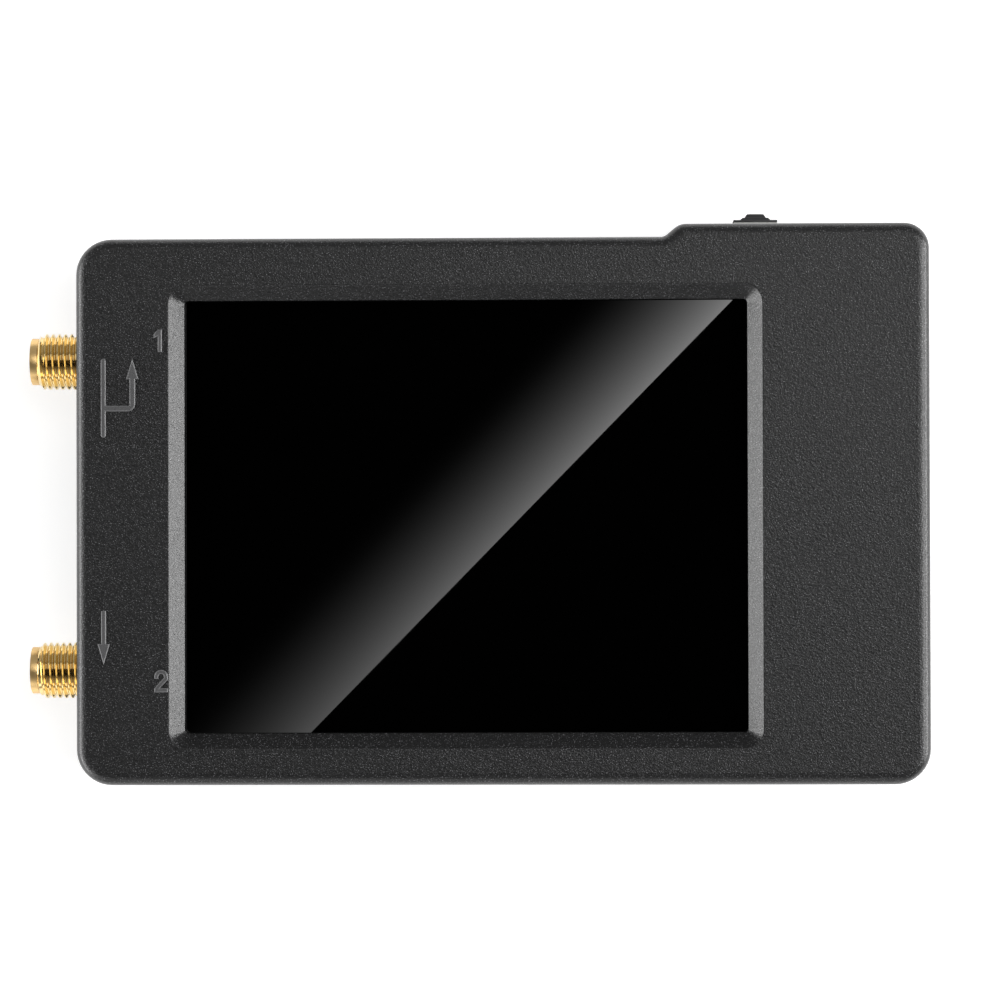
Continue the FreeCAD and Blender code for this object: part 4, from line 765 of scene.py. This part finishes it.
# ---------------------------------------------------------------- the thumb piece
def lever_cap_mesh(look):
    """Stepped thumb piece: a wide rim with a shallow groove, a narrower step, a crowned top."""
    low, high = low_high("lever_cap")
    middle = (low + high) / 2
    half_x, half_z, reach = (high.x - low.x) / 2, (high.z - low.z) / 2, high.y - low.y
    # (height over the shoulder, half width, half thickness), from the shoulder outwards
    levels = [(0.25, half_x, half_z), (0.25, half_x - 0.5, half_z - 0.1),
              (0.15, half_x - 0.65, half_z - 0.14), (0.52, 1.43, half_z - 0.22),
              (0.52, 1.2, half_z - 0.34), (reach - 0.06, 0.96, half_z - 0.42),
              (reach - 0.02, 0.6, half_z - 0.55), (reach, 0.2, half_z - 0.8)]
    bm = bmesh.new()
    top = bm.faces.new([bm.verts.new((middle.x + x * half_x, low.y, middle.z + z * half_z))
                        for x, z in ((-1, -1), (1, -1), (1, 1), (-1, 1))])
    width, thickness = half_x, half_z
    for height, new_width, new_thickness in levels:
        made = bmesh.ops.extrude_face_region(bm, geom=[top])["geom"]
        verts = [part for part in made if isinstance(part, bmesh.types.BMVert)]
        if height != levels[0][0] or width != new_width:
            bmesh.ops.delete(bm, geom=[top], context="FACES_ONLY")
        top = next(part for part in made if isinstance(part, bmesh.types.BMFace))
        bmesh.ops.scale(bm, vec=(new_width / width, 1, new_thickness / thickness),
                        verts=verts, space=Matrix.Translation((-middle.x, 0, -middle.z)))
        for vert in verts:
            vert.co.y = low.y + height
        width, thickness = new_width, new_thickness
    shortest, bluntest = 0.05, math.radians(25)     # of the edges that get rounded
    edges = [edge for edge in bm.edges
             if edge.calc_length() > shortest and edge.calc_face_angle(0) > bluntest]
    round_edges(bm, edges, look.cap_edge / MM, clamp_overlap=True)
    return bm


# ---------------------------------------------------------------- operators
class ANALYZER_OT_case(bpy.types.Operator):
    """Finish the two mouldings and the screws"""
    bl_idname = "analyzer.case"
    bl_label = "Case"

    def execute(self, context):
        look = context.scene.analyzer_case
        dress(["front_shell", "rear_cover"], spark_eroded_abs(look))
        dress(["case_screws"], blackened_steel(look))
        return {"FINISHED"}


class ANALYZER_OT_screen(bpy.types.Operator):
    """Finish the touch screen, the display under it and their flat cables"""
    bl_idname = "analyzer.screen"
    bl_label = "Screen"

    def execute(self, context):
        look = context.scene.analyzer_screen
        dress(["touch_panel"], black_backed_glass(look))
        dress(["window_gasket"], closed_cell_foam(look))
        dress(["lcd_glass"], display_cell(look))
        dress(["lcd_backlight"], diffuser_tray(look))
        dress(["touch_flex", "lcd_flex"], polyimide_flex(look))
        dress(["display_tape"], acrylic_foam_tape("acrylic_foam_tape", linear("#d2d0c8")))
        return {"FINISHED"}


class ANALYZER_OT_ports(bpy.types.Operator):
    """Build the threaded ports with their slotted contacts"""
    bl_idname = "analyzer.ports"
    bl_label = "Coaxial ports"

    def execute(self, context):
        look = context.scene.analyzer_ports
        gold = gold_plate(look)
        for port, first_crest in (("port_1", look.first_crest_1), ("port_2", look.first_crest_2)):
            finish_piece(port + "_threaded_body", port_body_mesh(look, port, first_crest / MM),
                         gold, "housing", port + "_body")
            finish_piece(port + "_slotted_contact", port_contact_mesh(look, port), gold,
                         "housing", port + "_contact")
        dress(["port_1_insulator", "port_2_insulator"], turned_ptfe(look))
        dress(["usb_contacts"], gold)
        return {"FINISHED"}


class ANALYZER_OT_switches(bpy.types.Operator):
    """Build the stepped thumb piece and finish the lever switch, power switch and USB socket"""
    bl_idname = "analyzer.switches"
    bl_label = "Lever, power switch and socket"

    def execute(self, context):
        look = context.scene.analyzer_lever
        black = moulded_acetal("moulded_black_acetal", look.cap, linear("#323233"), 0.42)
        finish_piece("stepped_thumb_piece", lever_cap_mesh(look), black, "thumb_lever",
                     "lever_cap")
        dress(["power_switch_knob"], black)
        dress(["lever_stem", "lever_carriage"],
              moulded_acetal("moulded_natural_acetal", look.stem, linear("#b4b4b0"), 0.4))
        dress(["lever_switch_base", "power_switch_base", "usb_tongue"], glass_filled_nylon(look))
        dress(["usb_shell", "power_switch_frame", "lever_switch_cover", "click_dome"],
              drawn_stainless("drawn_stainless_sheet", look.steel, (0.6, 8.0, 8.0)))
        dress(["lever_spring", "lever_pin"],
              drawn_stainless("drawn_spring_steel", look.steel, (6.0, 6.0, 1.0)))
        return {"FINISHED"}


class ANALYZER_OT_board(bpy.types.Operator):
    """Finish the main board and what is soldered to it"""
    bl_idname = "analyzer.board"
    bl_label = "Main board"

    def execute(self, context):
        look = context.scene.analyzer_board
        dress(["main_board"], solder_masked_board(look))
        dress(["shield_frames", "shield_covers"], tin_plate(look))
        legs = 0.9     # how far a chip's legs stand out from its body
        for node, legs_x, legs_y in (("microcontroller", legs, legs), ("clock_generator", 0, legs),
                                     ("charger_chip", 0, legs), ("audio_codec", 0, 0)):
            low, high = low_high(node)
            middle, half = (low + high) / 2, (high - low) / 2
            dress([node], moulded_chip(look, node, [(middle.x, middle.y)], half.x - legs_x,
                                       half.y - legs_y))
        low, high = low_high("mixer_chips")
        half_x, half_y = 2.45, 1.95     # of one mixer's body
        row = half_y + legs
        dress(["mixer_chips"], moulded_chip(
            look, "mixer_chips", [(low.x + half_x, low.y + row), (low.x + half_x, high.y - row),
                                  (high.x - half_x, high.y - row)], half_x, half_y))
        dress(["chip_capacitors"], end_capped_part(look, "chip_capacitors", "fired_capacitor",
                                                   look.capacitor, look.capacitor))
        dress(["chip_resistors"], end_capped_part(look, "chip_resistors", "glazed_resistor",
                                                  look.resistor, linear("#d9d8d2")))
        dress(["power_inductor"], sintered_ferrite(look))
        dress(["reference_oscillator"], lidded_oscillator())
        dress(["status_leds"], led_epoxy())
        return {"FINISHED"}


class ANALYZER_OT_battery(bpy.types.Operator):
    """Finish the cell, its tape, its protection board, leads and connector"""
    bl_idname = "analyzer.battery"
    bl_label = "Battery"

    def execute(self, context):
        look = context.scene.analyzer_battery
        dress(["battery_cell"], laminated_pouch(look))
        dress(["battery_tape"], acrylic_foam_tape("battery_foam_tape", look.tape))
        dress(["battery_tab_board"], taped_tab_board())
        dress(["battery_lead_red"], pvc_insulation("red_pvc", look.red, linear("#8e1210")))
        dress(["battery_lead_black"], pvc_insulation("black_pvc", look.black, linear("#232323")))
        dress(["battery_plug", "battery_socket"], natural_nylon(look))
        return {"FINISHED"}


class ANALYZER_OT_studio(bpy.types.Operator):
    """Set up the floor, the lamps, the background and the camera"""
    bl_idname = "analyzer.studio"
    bl_label = "Studio"

    def execute(self, context):
        look = context.scene.analyzer_studio
        make_floor(look)
        make_lamps(look)
        make_reflected_card(look)
        make_world(look)
        make_camera(context.scene)
        context.scene.view_settings.view_transform = "Standard"
        return {"FINISHED"}


class ANALYZER_PT_panel(bpy.types.Panel):
    """Sizes, colours and steps of the analyzer"""
    bl_idname = "ANALYZER_PT_panel"
    bl_label = "Antenna analyzer"
    bl_space_type = "VIEW_3D"
    bl_region_type = "UI"
    bl_category = "Analyzer"

    def draw(self, context):
        for attribute, group in GROUPS.items():
            box = self.layout.box()
            box.label(text=group.__name__.replace("Settings", ""))
            for name in group.__annotations__:
                box.prop(getattr(context.scene, attribute), name)
        for operator in OPERATORS:
            self.layout.operator(operator.bl_idname)


# ---------------------------------------------------------------- the studio
def make_floor(look):
    """Pale floor under the object, plain white where nothing shades it."""
    half_side, below = 3.0, 0.05 * MM
    material, add, _ = begin("pale_floor", {
        "Base Color": look.floor, "Roughness": 0.9, "Emission Color": (1, 1, 1, 1)})
    rays = add("LightPath")
    seen = rays.outputs["Is Camera Ray"]
    for way in ("Is Glossy Ray", "Is Transmission Ray"):
        seen = add("Math", {0: seen, 1: rays.outputs[way]}, operation="MAXIMUM")
    level = add("Math", {0: seen, 1: look.white}, operation="MULTIPLY")
    bm = bmesh.new()
    bmesh.ops.create_grid(bm, x_segments=1, y_segments=1, size=half_side)
    bmesh.ops.translate(bm, vec=(0, 0, -below), verts=bm.verts)
    mesh_object("floor", bm, finished(material, {"Emission Strength": level}))


def softbox(name, azimuth, elevation, breadth, height, level):
    """Rectangular lamp at arm's length, aimed at the case. Its place and its size are angles in
    degrees as the case sees them, azimuth from +X towards +Y, and level is its brightness."""
    distance = 0.75
    aim = Vector((0, 0, low_high("front_shell")[1].z * MM))
    turn, rise = math.radians(azimuth), math.radians(elevation)
    towards = Vector((math.cos(rise) * math.cos(turn), math.cos(rise) * math.sin(turn),
                      math.sin(rise)))
    lamp = bpy.data.lights.new(name, "AREA")
    lamp.shape = "RECTANGLE"
    lamp.size = 2 * distance * math.tan(math.radians(breadth / 2))
    lamp.size_y = 2 * distance * math.tan(math.radians(height / 2))
    lamp.energy = level * math.pi * lamp.size * lamp.size_y
    holder = add_object(name, lamp)
    holder.location = aim + towards * distance
    holder.rotation_mode = "QUATERNION"
    holder.rotation_quaternion = (-towards).to_track_quat("-Z", "Y")
    holder.visible_camera = False


# azimuth, elevation, breadth and height in degrees, and brightness
LAMPS = {
    "right_low": (0, 6, 42, 12, 11.2),
    "right_middle": (0, 34, 36, 16, 9.0),
    "right_high": (12, 52, 28, 18, 3.4),
    "right_top": (32, 73, 30, 16, 2.25),
    "left_low": (192, 6, 66, 12, 8.6),
    "left_middle": (180, 19, 42, 14, 3.0),
    "left_high": (180, 34, 36, 16, 1.4),
    "corner": (225, 19, 42, 14, 2.2),
    "front": (270, 19, 42, 14, 1.3),
    "overhead": (90, 71, 30, 24, 0.75),
}


def make_lamps(look):
    for name, (azimuth, elevation, breadth, height, level) in LAMPS.items():
        softbox(name, azimuth, elevation, breadth, height, level * look.lamps)


def make_reflected_card(look):
    """A slim graded card high above the screen, there only for its reflection in the glass: a
    straight edge from one long side of the screen to the other, fading to nothing from there and
    dimmer towards its lower end."""
    fade, length, height = 0.0447, 0.4, 0.9
    edge_middle = Vector((-0.01404, 0.00406, height))
    edge_angle = math.radians(45.576)
    falloff, dim_end = 3.2, 0.107
    material = bpy.data.materials.new("graded_card")
    material.use_nodes = True
    add = functools.partial(add_node, material)
    on_card = add("SeparateXYZ", {"Vector": add("TexCoord").outputs["UV"]})
    graded = add("Math", {0: on_card.outputs["X"], 1: falloff}, operation="POWER")
    along = add("MapRange", {"Value": on_card.outputs["Y"], "To Min": dim_end * look.card,
                             "To Max": look.card})
    level = add("Math", {0: graded, 1: along}, operation="MULTIPLY")
    glow = add("Emission", {"Strength": level, "Color": (1, 1, 1, 1)})
    set_inputs(material, material.node_tree.nodes["Material Output"], {"Surface": glow})
    bm = bmesh.new()
    bm.loops.layers.uv.new("UVMap")
    bmesh.ops.create_grid(bm, x_segments=1, y_segments=1, size=0.5, calc_uvs=True)
    bmesh.ops.translate(bm, vec=(-0.5, 0, 0), verts=bm.verts)
    bmesh.ops.scale(bm, vec=(fade, length, 1), verts=bm.verts)
    bmesh.ops.rotate(bm, verts=bm.verts, cent=(0, 0, 0),
                     matrix=Matrix.Rotation(edge_angle - math.pi / 2, 3, "Z"))
    bmesh.ops.translate(bm, vec=edge_middle, verts=bm.verts)
    bmesh.ops.reverse_faces(bm, faces=bm.faces)
    card = mesh_object("graded_card", bm, material)
    for ray in ("camera", "diffuse", "shadow", "transmission", "volume_scatter"):
        setattr(card, "visible_" + ray, False)


def make_world(look):
    """White behind everything, and a grey room with a dark ceiling round the object."""
    world = bpy.data.worlds.new("room")
    bpy.context.scene.world = world
    world.use_nodes = True
    add = functools.partial(add_node, world)
    direction = add("SeparateXYZ", {"Vector": add("TexCoord").outputs["Generated"]})
    room = add("MapRange", {"Value": direction.outputs["Z"], "From Min": 0.7, "From Max": 0.93,
                            "To Min": look.room, "To Max": 0.0})
    seen = add("LightPath").outputs["Is Camera Ray"]
    level = add("Mix", {"Factor": seen, "A": room, "B": 1.0}, data_type="FLOAT")
    set_inputs(world, world.node_tree.nodes["Background"],
               {"Color": (1, 1, 1, 1), "Strength": level})


def make_camera(scene):
    """Long lens straight above the screen, leaning a little towards the lever."""
    lens = bpy.data.cameras.new("camera")
    lens.sensor_width = 36.0
    lens.lens = 123.35
    lens.clip_start = 0.01
    lens.clip_end = 10.0
    camera = add_object("camera", lens)
    camera.location = (0.009096, -0.002661, 0.397294)
    camera.rotation_euler = [math.radians(angle) for angle in (0.58, 1.402, -0.162)]
    scene.camera = camera


# ---------------------------------------------------------------- add-on
GROUPS = {
    "analyzer_case": CaseSettings,
    "analyzer_screen": ScreenSettings,
    "analyzer_ports": PortSettings,
    "analyzer_lever": LeverSettings,
    "analyzer_board": BoardSettings,
    "analyzer_battery": BatterySettings,
    "analyzer_studio": StudioSettings,
}
OPERATORS = [ANALYZER_OT_case, ANALYZER_OT_screen, ANALYZER_OT_ports, ANALYZER_OT_switches,
             ANALYZER_OT_board, ANALYZER_OT_battery, ANALYZER_OT_studio]


def register():
    for group in GROUPS.values():
        bpy.utils.register_class(group)
    for operator in OPERATORS + [ANALYZER_PT_panel]:
        bpy.utils.register_class(operator)
    for attribute, group in GROUPS.items():
        setattr(bpy.types.Scene, attribute, bpy.props.PointerProperty(type=group))


def unregister():
    for attribute in GROUPS:
        delattr(bpy.types.Scene, attribute)
    for operator in [ANALYZER_PT_panel] + OPERATORS[::-1]:
        bpy.utils.unregister_class(operator)
    for group in list(GROUPS.values())[::-1]:
        bpy.utils.unregister_class(group)


def main():
    register()
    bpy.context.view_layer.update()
    for operator in OPERATORS:
        category, name = operator.bl_idname.split(".")
        getattr(getattr(bpy.ops, category), name)()


if __name__ == "__main__":
    main()
